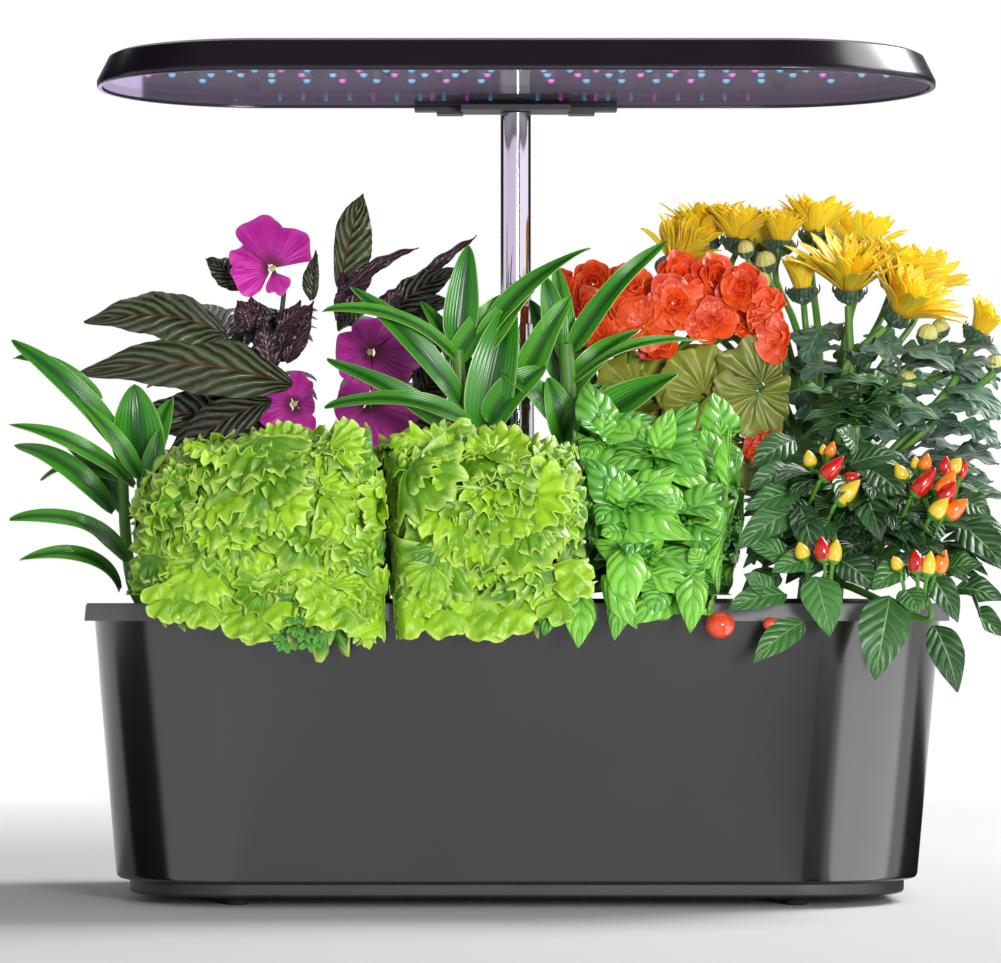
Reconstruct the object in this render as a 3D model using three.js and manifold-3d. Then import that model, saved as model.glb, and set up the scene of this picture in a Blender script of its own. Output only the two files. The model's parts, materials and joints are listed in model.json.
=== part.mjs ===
// Countertop hydroponic garden, planted. Millimetres, +Z up, the front faces -Y and +X is to the right.
// The origin is on the worktop, under the middle of the object.
import * as THREE from 'three';
import { mergeVertices } from 'three/addons/utils/BufferGeometryUtils.js';
import Module from 'manifold-3d';

const wasm = await Module();
wasm.setup();

// Driving dimensions of the casing
const gap = 0.3; // left between pieces that seat on or in each other
const overrun = 2; // how far a cutting shape runs past the face it opens
const footHeight = 4;
const footDiameter = 10;
const lipWidth = 395;
const lipOverhang = 4.5; // how far the lip stands out past the top of the tank
const tankTopWidth = lipWidth - 2 * lipOverhang;
const tankTopDepth = 235;
const tankTaper = 10; // how far each wall leans out on its way up
const tankBottomWidth = tankTopWidth - 2 * tankTaper;
const tankBottomDepth = tankTopDepth - 2 * tankTaper;
const tankHeight = 121.9;
const plinthInset = 6;
const plinthWidth = tankBottomWidth - 2 * plinthInset;
const plinthDepth = tankBottomDepth - 2 * plinthInset;
const plinthHeight = 6.2;
const footInsetX = 51;
const footInsetY = 19.5;
const footSpacingX = plinthWidth - 2 * footInsetX;
const footSpacingY = plinthDepth - 2 * footInsetY;
const tankCornerRadius = 58;
const tankWall = 2.6;
const tankFloor = 3;
const lipHeight = 8;
const lipDraft = 1.1; // the lip leans in by this much on each side
const deckPlate = 3;
const cornerSteps = 6; // facets in each rounded corner of the tank, the deck and the plinth
const panelSteps = 3;
const smallSteps = 2;

// Driving dimensions of the pods
const podFrontInset = 51.5; // from the top of the tank's wall to the axes of the pods
const podRearInset = 59.5;
const podOuterInset = 55;
const podSideInset = 43;
const podFrontY = podFrontInset - tankTopDepth / 2;
const podRearY = tankTopDepth / 2 - podRearInset;
const podMiddleY = (podFrontY + podRearY) / 2;
const podOuterX = tankTopWidth / 2 - podOuterInset;
const podInnerX = podOuterX / 3;
const podSideX = tankTopWidth / 2 - podSideInset;
const basketRimRadius = 18.5;
const basketRimHeight = 1.8;
const basketTopRadius = 16.4;
const basketBottomRadius = 12.4;
const basketDepth = 46;
const basketWall = 1.4;
const basketSlotWidth = 5;
const basketSlotMargin = 8;
const basketSides = 10;
const plantHoleRadius = 3.4;
const plantHoleDepth = 8;
const neckSides = 6;

// Driving dimensions of the stand and the lamp
const poleInset = 19.5; // from the tank's rear wall to the axis of the pole
const poleY = tankTopDepth / 2 - poleInset;
const innerPoleDiameter = 15;
const innerPoleBore = 12.4;
const outerPoleDiameter = 18;
const outerPoleTop = 282;
const outerPoleBelowDeck = 14;
const innerPoleBottom = 172;
const poleSides = 16;
const socketDiameter = 27;
const socketHeight = 16;
const lampUnderside = 381;
const lampWidth = 400;
const lampDepth = 160;
const lampHeight = 15.6;
const lampOverhang = 10; // how far the lamp reaches back past the axis of the pole
const lampRearY = poleY + lampOverhang;
const lampBand = 3.2; // upright part of the side band, under its bevel
const lampBevel = 5.6;
const lampWall = 2.6;
const lampTop = 2.4;
const coverThickness = 2;
const coverRecess = 0.8;
const boardThickness = 1.6;
const boardDrop = 3.4; // from the top of the lamp's hollow to the board

// Levels that follow from them
const plinthBottom = footHeight;
const tankBottom = plinthBottom + plinthHeight + gap;
const tankTop = tankBottom + tankHeight;
const plateUnderside = tankTop + gap;
const deckTop = plateUnderside + deckPlate;
const tankInsideFloor = tankBottom + tankFloor;
const lipDepth = tankTopDepth + 2 * lipOverhang;
const lampCentreY = lampRearY - lampDepth / 2;
const basketSeat = deckTop + gap;
const basketTop = basketSeat + basketRimHeight;

// Small helpers for solids

function plainGeometry(positions, index) {
  const geometry = new THREE.BufferGeometry();
  geometry.setAttribute('position', new THREE.Float32BufferAttribute(positions, 3));
  geometry.setIndex(index);
  return geometry;
}

function solid(geometry) {
  const copy = geometry.clone();
  copy.deleteAttribute('normal');
  copy.deleteAttribute('uv');
  const merged = mergeVertices(copy, gap / 1000);
  return new wasm.Manifold(new wasm.Mesh({
    numProp: 3,
    vertProperties: new Float32Array(merged.attributes.position.array),
    triVerts: new Uint32Array(merged.index.array),
  }));
}

function geometryOf(manifold) {
  const mesh = manifold.getMesh();
  return plainGeometry(Array.from(mesh.vertProperties), Array.from(mesh.triVerts));
}

function cut(body, ...tools) {
  return geometryOf(tools.reduce((left, tool) => left.subtract(solid(tool)), solid(body)));
}

function join(...pieces) {
  return geometryOf(pieces.slice(1).reduce((sum, piece) => sum.add(solid(piece)), solid(pieces[0])));
}

// Closed loft through rings of points that all have as many points, each ring convex and anticlockwise
function loft(rings) {
  const count = rings[0].length;
  const positions = rings.flat().flatMap((point) => [point.x, point.y, point.z]);
  const index = [];
  for (let level = 0; level + 1 < rings.length; level += 1) {
    for (let side = 0; side < count; side += 1) {
      const next = (side + 1) % count;
      const low = level * count;
      const high = low + count;
      index.push(low + side, low + next, high + next, low + side, high + next, high + side);
    }
  }
  const last = (rings.length - 1) * count;
  for (let side = 1; side + 1 < count; side += 1) {
    index.push(0, side + 1, side, last, last + side, last + side + 1);
  }
  return plainGeometry(positions, index);
}

// Rounded rectangle in plan at one level; a radius of half the depth makes round ends
function roundedRing(width, depth, radius, z, steps = cornerSteps, centreY = 0) {
  const corners = [[1, 1], [-1, 1], [-1, -1], [1, -1]];
  return corners.flatMap(([sideX, sideY], corner) => Array.from({ length: steps + 1 }, (_, step) => {
    const angle = (corner + step / steps) * Math.PI / 2;
    return new THREE.Vector3(
      sideX * (width / 2 - radius) + radius * Math.cos(angle),
      centreY + sideY * (depth / 2 - radius) + radius * Math.sin(angle),
      z,
    );
  }));
}

function at(ring, x) {
  return ring.map((point) => point.setX(point.x + x));
}

function box(x0, x1, y0, y1, z0, z1) {
  const geometry = new THREE.BoxGeometry(x1 - x0, y1 - y0, z1 - z0);
  return geometry.translate((x0 + x1) / 2, (y0 + y1) / 2, (z0 + z1) / 2);
}

// Revolved about a vertical axis at x, y; the profile is a list of [radius, height]
function turned(profile, x, y, sides) {
  const points = profile.map(([radius, height]) => new THREE.Vector2(radius, height));
  return new THREE.LatheGeometry(points, sides).rotateX(Math.PI / 2).translate(x, y, 0);
}

function rod(x, y, radius, z0, z1, sides) {
  return turned([[0, z0], [radius, z0], [radius, z1], [0, z1]], x, y, sides);
}

// Tank, plinth and feet

function tankSection(z, inset) {
  const rise = (z - tankBottom) / (tankTop - tankBottom);
  return roundedRing(
    THREE.MathUtils.lerp(tankBottomWidth, tankTopWidth, rise) - 2 * inset,
    THREE.MathUtils.lerp(tankBottomDepth, tankTopDepth, rise) - 2 * inset,
    tankCornerRadius - inset,
    z,
  );
}

const tankEdgeRadius = 2.4; // rounded foot of the tank's wall

function tank() {
  const outside = loft([
    tankSection(tankBottom, tankEdgeRadius / 2),
    tankSection(tankBottom + tankEdgeRadius / 2, 0),
    tankSection(tankTop, 0),
  ]);
  const inside = loft([
    tankSection(tankInsideFloor, tankWall + tankEdgeRadius),
    tankSection(tankInsideFloor + tankEdgeRadius, tankWall),
    tankSection(tankTop + overrun, tankWall),
  ]);
  return cut(outside, inside);
}

const plinthChamfer = 1.6;

function basePlinth() {
  const radius = tankCornerRadius - (tankBottomWidth - plinthWidth) / 2;
  const ring = (z, inset) => roundedRing(plinthWidth - 2 * inset, plinthDepth - 2 * inset, radius - inset, z);
  return loft([
    ring(plinthBottom, plinthChamfer),
    ring(plinthBottom + plinthChamfer, 0),
    ring(plinthBottom + plinthHeight, 0),
  ]);
}

const footSides = 10;
const footTreadShare = 0.66;

function foot() {
  const radius = footDiameter / 2;
  const top = plinthBottom - gap;
  return turned([
    [0, 0], [radius * footTreadShare, 0], [radius, top * (1 - footTreadShare)], [radius, top], [0, top],
  ], 0, 0, footSides);
}

// Pods: place, and the way the plant in each leans

const pods = [
  { name: 'lettuce_left', x: -podOuterX, y: podFrontY },
  { name: 'lettuce_right', x: -podInnerX, y: podFrontY },
  { name: 'basil', x: podInnerX, y: podFrontY },
  { name: 'pepper', x: podOuterX, y: podFrontY },
  { name: 'bamboo', x: -podSideX, y: podMiddleY },
  { name: 'dracaena', x: 0, y: podMiddleY },
  { name: 'tomato', x: podSideX, y: podMiddleY },
  { name: 'impatiens_left', x: -podOuterX, y: podRearY },
  { name: 'impatiens_right', x: -podInnerX, y: podRearY },
  { name: 'begonia', x: podInnerX, y: podRearY },
  { name: 'chrysanthemum', x: podOuterX, y: podRearY },
];

// Net basket: rim, and a tapered wall with four slots that run down into the floor
function basket(pod) {
  const floorZ = basketSeat - basketDepth;
  const shell = turned([
    [0, floorZ], [basketBottomRadius, floorZ], [basketTopRadius, basketSeat], [basketRimRadius, basketSeat],
    [basketRimRadius, basketTop], [basketTopRadius - basketWall, basketTop],
    [basketBottomRadius - basketWall, floorZ + basketWall], [0, floorZ + basketWall],
  ], pod.x, pod.y, basketSides);
  const slots = [0, 1].map((turn) => {
    const slotHeight = basketDepth - 2 * basketSlotMargin;
    const slot = new THREE.BoxGeometry(2 * basketRimRadius, basketSlotWidth, slotHeight);
    return slot.rotateZ(turn * Math.PI / 2 + Math.PI / basketSides)
      .translate(pod.x, pod.y, basketSeat - basketDepth / 2);
  });
  return cut(shell, ...slots);
}

// Grow sponge: fills the basket and takes the plant's neck in a hole
function sponge(pod) {
  const floorZ = basketSeat - basketDepth + basketWall + gap;
  const inset = basketWall + 2 * gap;
  const plug = turned([
    [0, floorZ], [basketBottomRadius - inset, floorZ], [basketTopRadius - inset, basketTop], [0, basketTop],
  ], pod.x, pod.y, basketSides);
  const bottom = basketTop - plantHoleDepth - gap;
  return cut(plug, rod(pod.x, pod.y, plantHoleRadius, bottom, basketTop + overrun, neckSides));
}

// Deck with its lip, pod holes, ribs underneath and the seats of what stands on it

const ribThickness = 2;
const ribHeight = 6;
const ribInset = 24;
const ribFrontY = -35;
const ribRearY = 31;
const ribX = 92;
const riserX = 78;
const riserY = podMiddleY;
const riserDiameter = 9;
const riserSides = 10;
const floatX = -78;
const floatY = podMiddleY;
const floatStemDiameter = 4;
const floatSides = 8;
const floatGuideDiameter = 9;
const floatGuideLength = 12;
const fillerX = 84;
const fillerInset = 20.5;
const fillerY = tankTopDepth / 2 - fillerInset;
const fillerWidth = 42;
const fillerDepth = 18;
const fillerRadius = 6;
const panelX = 0;
const panelInset = 29.5; // from the tank's front wall to the middle of the panel
const panelY = panelInset - tankTopDepth / 2;
const panelWidth = 46;
const panelDepth = 19;
const panelHeight = 2.4;
const panelRadius = 5;
const boxWall = 1.6;
const inletX = -70;

// Outlines in the deck, grown outwards by a margin
function fillerRing(z, margin, steps = smallSteps) {
  return at(roundedRing(
    fillerWidth + 2 * margin, fillerDepth + 2 * margin, fillerRadius, z, steps, fillerY,
  ), fillerX);
}

function panelOpening(z, margin) {
  const inset = 2 * boxWall - margin;
  return at(roundedRing(
    panelWidth - 2 * inset, panelDepth - 2 * inset, panelRadius / 2, z, smallSteps, panelY,
  ), panelX);
}

function deckSlab() {
  const radius = tankCornerRadius + (lipWidth - tankTopWidth) / 2;
  const lipBottom = deckTop - lipHeight;
  return loft([
    roundedRing(lipWidth, lipDepth, radius, lipBottom),
    roundedRing(lipWidth - lipDraft, lipDepth - lipDraft, radius, deckTop - lipDraft),
    roundedRing(lipWidth - 2 * lipDraft, lipDepth - 2 * lipDraft, radius - lipDraft / 2, deckTop),
  ]);
}

function deck() {
  const lipBottom = deckTop - lipHeight;
  const hollow = loft([
    tankSection(lipBottom - overrun, -2 * gap),
    tankSection(plateUnderside, -gap),
  ]);
  const insideX = tankTopWidth / 2 - tankWall - ribInset;
  const insideY = tankTopDepth / 2 - tankWall - ribInset;
  const ribZ = plateUnderside - ribHeight;
  const inPlate = deckTop - deckPlate / 2;
  const half = ribThickness / 2;
  const ribs = [
    ...[ribFrontY, ribRearY].map((y) => box(-insideX, insideX, y - half, y + half, ribZ, inPlate)),
    ...[-ribX, ribX].map((x) => box(x - half, x + half, -insideY, insideY, ribZ, inPlate)),
  ];
  const guideBottom = plateUnderside - floatGuideLength;
  const floatGuide = rod(floatX, floatY, floatGuideDiameter / 2, guideBottom, inPlate, floatSides);
  const shell = join(cut(deckSlab(), hollow), ...ribs, floatGuide);
  const below = guideBottom - overrun;
  const above = deckTop + overrun;
  const holes = pods.map((pod) => rod(pod.x, pod.y, basketTopRadius + gap, below, above, basketSides));
  return cut(
    shell,
    ...holes,
    rod(riserX, riserY, riserDiameter / 2 + gap, below, inPlate, riserSides),
    rod(floatX, floatY, floatStemDiameter / 2 + gap, below, above, floatSides),
    rod(0, poleY, outerPoleDiameter / 2 + gap, below, above, poleSides),
    loft([fillerRing(below, 0), fillerRing(above, 0)]),
    loft([panelOpening(below, 0), panelOpening(above, 0)]),
  );
}

// Control panel: a low bezel with two buttons over a small board

const buttonSpacing = 18;
const buttonRadius = 5.4;
const buttonFlange = 1.1;
const buttonFlangeHeight = 1.2;
const buttonRise = 0.8;
const buttonTravel = 1;
const buttonSides = 12;
const boardPlate = 1.4;
const boardDepth = 8;
const panelSkirt = 7;

function panelInside(z, inset) {
  const width = panelWidth - 6 * boxWall - 2 * gap - 2 * inset;
  const depth = panelDepth - 5 * boxWall - 2 * gap - 2 * inset;
  return at(roundedRing(width, depth, panelRadius / 2 - inset, z, smallSteps, panelY), panelX);
}

function controlPanel() {
  const bottom = deckTop + gap;
  const top = bottom + panelHeight;
  const ring = (z, inset) => at(roundedRing(
    panelWidth - inset, panelDepth - inset, panelRadius, z, panelSteps, panelY,
  ), panelX);
  const cap = loft([ring(bottom, 0), ring(top, panelHeight / 2)]);
  const skirt = loft([panelOpening(bottom - panelSkirt, -gap), panelOpening(bottom + panelHeight / 2, -gap)]);
  const hollow = loft([panelInside(bottom - boardDepth, 0), panelInside(top - boxWall / 2, 0)]);
  const holeRadius = buttonRadius - buttonFlange + gap;
  const holes = [-1, 1].map((side) => rod(
    panelX + side * buttonSpacing / 2, panelY, holeRadius, bottom, top + overrun, buttonSides,
  ));
  return cut(join(cap, skirt), hollow, ...holes);
}

// Button: a cap that stands through the bezel on a flange that the bezel traps
function button(side) {
  const bezelTop = deckTop + gap + panelHeight;
  const flangeTop = bezelTop - boxWall / 2 - gap;
  const capRadius = buttonRadius - buttonFlange;
  return turned([
    [0, flangeTop - buttonFlangeHeight], [capRadius + gap * 2, flangeTop - buttonFlangeHeight],
    [capRadius + gap * 2, flangeTop], [capRadius, flangeTop], [capRadius, bezelTop + buttonRise / 2],
    [capRadius - buttonRise / 2, bezelTop + buttonRise], [0, bezelTop + buttonRise],
  ], panelX + side * buttonSpacing / 2, panelY, buttonSides);
}

function controlBoard() {
  const flangeBottom = deckTop + gap + panelHeight - boxWall / 2 - gap - buttonFlangeHeight;
  const top = flangeBottom - buttonTravel - gap;
  return loft([panelInside(top - boardPlate, gap), panelInside(top, gap)]);
}

// Filler lid on a hinge pin at the back edge of the deck

const lidOverhang = 2.6;
const lidThickness = 2.2;
const lidPlug = 2.4;
const lidPinRadius = 1.3;
const lidPinLength = 30;
const lidPinSetback = 8; // from the port's rear edge to the pin
const lidPinY = fillerY + fillerDepth / 2 + lidPinSetback;
const lugWidth = 5;
const lidPinHeight = 3;
const lidPinSides = 10;

// Cylinder along the hinge's axis
function onHinge(radius, length) {
  return new THREE.CylinderGeometry(radius, radius, length, lidPinSides)
    .rotateZ(Math.PI / 2).translate(fillerX, lidPinY, deckTop + lidPinHeight);
}

function fillerLid() {
  const bottom = deckTop + gap;
  const top = bottom + lidThickness;
  const slab = loft([
    fillerRing(bottom, lidOverhang, panelSteps),
    fillerRing(top, lidOverhang / 2, panelSteps),
  ]);
  const plug = loft([
    fillerRing(bottom - lidPlug, -2 * gap),
    fillerRing(bottom + lidThickness / 2, -2 * gap),
  ]);
  const barrelLength = lidPinLength - 2 * lugWidth - 2 * gap;
  const arm = box(
    fillerX - barrelLength / 2, fillerX + barrelLength / 2, fillerY + fillerDepth / 2, lidPinY, bottom, top,
  );
  const barrel = onHinge(2 * lidPinRadius, barrelLength);
  return cut(join(slab, plug, arm, barrel), onHinge(lidPinRadius + gap, barrelLength + overrun));
}

// Hinge pin with the two lugs that carry it on the deck
function lidPin() {
  const lugs = [-1, 1].map((side) => {
    const middle = fillerX + side * (lidPinLength - lugWidth) / 2;
    return box(
      middle - lugWidth / 2, middle + lugWidth / 2, lidPinY - 2 * lidPinRadius, lidPinY + 2 * lidPinRadius,
      deckTop + gap, deckTop + lidPinHeight + lidPinRadius,
    );
  });
  return join(onHinge(lidPinRadius, lidPinLength), ...lugs);
}

// Power inlet: a round socket in a small housing at the back of the deck, facing back
const inletWidth = 16;
const inletLength = 14;
const inletHeight = 11;
const inletBore = 7;
const inletPin = 1.2;
const inletSides = 10;

function powerInlet() {
  const rear = lipDepth / 2 - lipHeight;
  const bottom = deckTop + gap;
  const half = inletWidth / 2;
  const body = box(inletX - half, inletX + half, rear - inletLength, rear, bottom, bottom + inletHeight);
  const middle = bottom + inletHeight / 2;
  const bore = new THREE.CylinderGeometry(inletBore / 2, inletBore / 2, inletLength, inletSides)
    .translate(inletX, rear - inletLength / 4, middle);
  const pin = new THREE.CylinderGeometry(inletPin, inletPin, inletLength, inletSides)
    .translate(inletX, rear - inletLength / 2 - gap, middle);
  return join(cut(body, bore), pin);
}

// Pump: housing with a volute open below, a slotted strainer under it, the impeller and the riser

const pumpWidth = 44;
const pumpDepth = 36;
const pumpHeight = 32;
const pumpRadius = 7;
const voluteRadius = 12.5;
const voluteHeight = 11;
const strainerHeight = 6;
const strainerWall = 2;
const strainerSlot = 2.4;
const shaftRadius = 1.5;
const shaftLength = 12;
const impellerClearance = 0.8;
const impellerHub = 4;
const impellerDisc = 1.4;
const bladeCount = 5;
const pumpSides = 14;
const shaftSides = 14;
const bladeThickness = 1.2;
const riserBore = 6;
const pumpRiserOffset = 8;
const pumpX = riserX - pumpRiserOffset;
const pumpY = riserY;

function pumpFloor() {
  return tankInsideFloor + gap + strainerHeight + gap;
}

function pumpRing(z, inset, radius = pumpRadius) {
  return at(roundedRing(pumpWidth - 2 * inset, pumpDepth - 2 * inset, radius, z, smallSteps, pumpY), pumpX);
}

function pumpHousing() {
  const bottom = pumpFloor();
  const top = bottom + pumpHeight;
  const casing = loft([
    pumpRing(bottom, 0),
    pumpRing(top - pumpRadius / 2, 0),
    pumpRing(top, pumpRadius / 2),
  ]);
  return cut(
    casing,
    rod(pumpX, pumpY, voluteRadius, bottom - overrun, bottom + voluteHeight, pumpSides),
    rod(pumpX, pumpY, shaftRadius + gap, bottom, bottom + voluteHeight + shaftLength, shaftSides),
    rod(riserX, riserY, riserBore / 2, bottom + voluteHeight / 2, top + overrun, riserSides),
    rod(riserX, riserY, riserDiameter / 2 + gap, top - pumpRadius, top + overrun, riserSides),
  );
}

function pumpStrainer() {
  const bottom = tankInsideFloor + gap;
  const top = bottom + strainerHeight;
  const tray = loft([pumpRing(bottom, 0), pumpRing(top, 0)]);
  const hollow = loft([
    pumpRing(bottom + strainerWall, strainerWall, pumpRadius / 2),
    pumpRing(top + overrun, strainerWall, pumpRadius / 2),
  ]);
  const pitch = 4 * strainerSlot;
  const slots = [-1, 0, 1].map((place) => box(
    pumpX + place * pitch - strainerSlot / 2, pumpX + place * pitch + strainerSlot / 2,
    pumpY - pumpDepth, pumpY + pumpDepth, bottom + strainerWall, top - strainerWall / 2,
  ));
  return cut(tray, hollow, ...slots);
}

function pumpImpeller() {
  const bottom = pumpFloor() + impellerClearance;
  const bladeTop = pumpFloor() + voluteHeight - impellerClearance;
  const radius = voluteRadius - impellerClearance;
  const shaftTop = pumpFloor() + voluteHeight + shaftLength - gap;
  const hub = turned([
    [0, bottom], [radius, bottom], [radius, bottom + impellerDisc], [impellerHub, bottom + impellerDisc],
    [impellerHub / 2, bladeTop], [shaftRadius, bladeTop], [shaftRadius, shaftTop], [0, shaftTop],
  ], pumpX, pumpY, pumpSides);
  const half = bladeThickness / 2;
  const blades = Array.from({ length: bladeCount }, (_, place) => {
    const bladeBottom = bottom + impellerDisc / 2;
    const paddle = box(shaftRadius, radius - bladeThickness, -half, half, bladeBottom, bladeTop);
    return paddle.rotateZ(place / bladeCount * 2 * Math.PI).translate(pumpX, pumpY, 0);
  });
  return join(hub, ...blades);
}

function riserTube() {
  const bottom = pumpFloor() + pumpHeight - pumpRadius + gap;
  const top = deckTop - deckPlate / 2 - gap;
  return turned([
    [riserBore / 2, bottom], [riserDiameter / 2, bottom], [riserDiameter / 2, top], [riserBore / 2, top],
    [riserBore / 2, bottom],
  ], riserX, riserY, riserSides);
}

// Water level float: a bob under the deck and a stem that shows above it

const bobRadius = 9;
const bobHeight = 16;
const floatRise = 26; // from the tank's floor to the bob when the tank is empty
const floatBottom = tankInsideFloor + floatRise;
const floatCapRadius = 3.2;
const floatCapHeight = 2;
const floatDome = 1.2; // how far the cap's middle stands above its edge

function float() {
  const capBottom = deckTop + gap;
  const stem = floatStemDiameter / 2;
  const edge = bobRadius / 4;
  return turned([
    [0, floatBottom], [bobRadius - edge, floatBottom], [bobRadius, floatBottom + edge],
    [bobRadius, floatBottom + bobHeight - edge], [bobRadius - edge, floatBottom + bobHeight],
    [stem, floatBottom + bobHeight], [stem, capBottom], [floatCapRadius, capBottom],
    [floatCapRadius, capBottom + floatCapHeight], [0, capBottom + floatCapHeight + floatDome],
  ], floatX, floatY, floatSides);
}

// Telescopic stand

const socketFlange = 6;
const socketFlangeHeight = 2.6;
const clampHeight = 9;
const clampWall = 2.2;

function poleSocket() {
  const bottom = deckTop + gap;
  const bore = outerPoleDiameter / 2 + gap;
  const radius = socketDiameter / 2;
  const flange = radius + socketFlange / 2;
  const top = bottom + socketHeight;
  return turned([
    [bore, bottom], [flange, bottom], [flange, bottom + socketFlangeHeight],
    [radius, bottom + socketFlangeHeight], [radius - clampWall, top], [bore, top], [bore, bottom],
  ], 0, poleY, poleSides);
}

function outerPole() {
  const bore = innerPoleDiameter / 2 + gap;
  const radius = outerPoleDiameter / 2;
  const bottom = deckTop - outerPoleBelowDeck;
  return turned([
    [bore, bottom], [radius, bottom], [radius, outerPoleTop - clampHeight],
    [radius + clampWall, outerPoleTop - clampHeight], [radius + clampWall, outerPoleTop - clampWall / 2],
    [radius + clampWall / 2, outerPoleTop], [bore, outerPoleTop], [bore, bottom],
  ], 0, poleY, poleSides);
}

const mountThickness = 2.8;

function innerPole() {
  const bore = innerPoleBore / 2;
  const radius = innerPoleDiameter / 2;
  const top = lampUnderside - gap - mountThickness - gap;
  return turned([
    [bore, innerPoleBottom], [radius, innerPoleBottom], [radius, top], [bore, top], [bore, innerPoleBottom],
  ], 0, poleY, poleSides);
}

// Lamp head

const lampSteps = 8;
const lampDome = 1.2; // the top's edge is rounded over by this much
const postRadius = 3.2;
const postX = 128;
const postY = 44;
const postSides = 10;

function lampInset(z) {
  const rise = (z - lampUnderside - lampBand) / (lampHeight - lampBand - lampDome);
  return THREE.MathUtils.clamp(rise, 0, 1) * lampBevel;
}

function lampRing(z, inset) {
  const away = lampInset(z) + inset;
  return roundedRing(
    lampWidth - 2 * away, lampDepth - 2 * away, lampDepth / 2 - away - gap, z, lampSteps, lampCentreY,
  );
}

const lampHollowTop = lampUnderside + lampHeight - lampTop;
const coverBottom = lampUnderside + coverRecess;
const boardTop = lampHollowTop - boardDrop;

function lampHousing() {
  const top = lampUnderside + lampHeight;
  const outside = loft([
    lampRing(lampUnderside, lampDome / 2),
    lampRing(lampUnderside + lampDome / 2, 0),
    lampRing(lampUnderside + lampBand, 0),
    lampRing(top - lampDome, 0),
    lampRing(top, 2 * lampDome),
  ]);
  const hollow = loft([
    lampRing(lampUnderside - overrun, lampWall),
    lampRing(lampUnderside + lampBand, lampWall),
    lampRing(lampHollowTop, lampWall),
  ]);
  const posts = [[-1, -1], [1, -1], [-1, 1], [1, 1]].map(([sideX, sideY]) => rod(
    sideX * postX, lampCentreY + sideY * postY, postRadius, coverBottom + coverThickness + gap,
    lampHollowTop + lampTop / 2, postSides,
  ));
  return join(cut(outside, hollow), ...posts);
}

function clearCover() {
  return loft([
    lampRing(coverBottom, lampWall + gap),
    lampRing(coverBottom + coverThickness, lampWall + gap),
  ]);
}

const ledPitch = 35;
const ledColumns = 10;
const ledRows = 3;
const ledRowPitch = 20;
const ledFrontY = -6;
const ledSize = 4;
const ledHeight = 1.3;
const ledSides = 4;

function ledBoard() {
  const bottom = boardTop - boardThickness;
  const inset = lampWall + 2 * gap;
  const plate = loft([lampRing(bottom, inset + lampBevel / 2), lampRing(boardTop, inset)]);
  const chips = [];
  for (let row = 0; row < ledRows; row += 1) {
    for (let column = 0; column < ledColumns; column += 1) {
      const shift = (row % 2 ? 1 : -1) * ledPitch / 4;
      const x = (column - (ledColumns - 1) / 2) * ledPitch + shift;
      const chip = new THREE.CylinderGeometry(ledSize / 2, ledSize / 3, 2 * ledHeight, ledSides);
      chips.push(chip.rotateX(Math.PI / 2).translate(x, ledFrontY + row * ledRowPitch, bottom));
    }
  }
  const holeRadius = postRadius + gap;
  const holes = [[-1, -1], [1, -1], [-1, 1], [1, 1]].map(([sideX, sideY]) => rod(
    sideX * postX, lampCentreY + sideY * postY, holeRadius, bottom - overrun, boardTop + overrun, postSides,
  ));
  return cut(join(plate, ...chips), ...holes);
}

// Bracket under the far rim: a bar on the pole and two clips that grip the rim
const mountWidth = 54;
const mountDepth = 25;
const clipReach = 11;
const clipWidth = 13;
const clipHeight = 3.6;
const clipDepth = 12;
const spigotLength = 14;

function lampMount() {
  const top = lampUnderside - gap;
  const bottom = top - mountThickness;
  const rear = lampRearY + gap;
  const bar = box(-mountWidth / 2, mountWidth / 2, rear - mountDepth, rear, bottom, top);
  const half = clipWidth / 2;
  const onRim = (middle, height) => box(
    middle - half, middle + half, rear - clipDepth, rear, top - height, top,
  );
  const clips = [-1, 1].flatMap((side) => [
    onRim(side * (mountWidth / 2 + clipReach / 2), clipHeight),
    onRim(side * (mountWidth / 2 + clipReach * 3 / 2), clipHeight / 2),
  ]);
  const spigotRadius = innerPoleBore / 2 - gap;
  const spigot = rod(0, poleY, spigotRadius, bottom - spigotLength, top - mountThickness / 2, poleSides);
  return join(bar, ...clips, spigot);
}

// Plants. Each keeps to its own upright cell, a convex patch of the plan, so that it lifts out freely.

const cellGap = 3;
const foliageOverhangX = 32.5;
const foliageOverhangY = 28;
const foliageReachX = lipWidth / 2 + foliageOverhangX;
const foliageReachY = lipDepth / 2 + foliageOverhangY;
const leafClearance = 8; // leaves over the deck stay this far above it
const rearClearance = 34; // and this far behind the rear pods, where the filler lid swings
const rearStripGap = 26;
const rearStripY = podRearY + rearStripGap;
const drapeSlope = 3.4; // how steeply a leaf may hang once it is past the lip
const hangSlope = 1.5; // how much lower a leaf hangs for each step past the lip
const drapeStart = 7; // how far past the lip it has to be first
const crownHeight = 5;
const neckRadius = plantHoleRadius - gap;
const poleClearance = socketDiameter / 2 + overrun;
const softShare = 0.72; // of a cell that is left as it is; beyond it the foliage is pressed together

const rows = {
  front: [-foliageReachY, (podFrontY + podMiddleY) / 2],
  middle: [(podFrontY + podMiddleY) / 2, (podMiddleY + podRearY) / 2],
  rear: [(podMiddleY + podRearY) / 2, foliageReachY],
};

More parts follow.
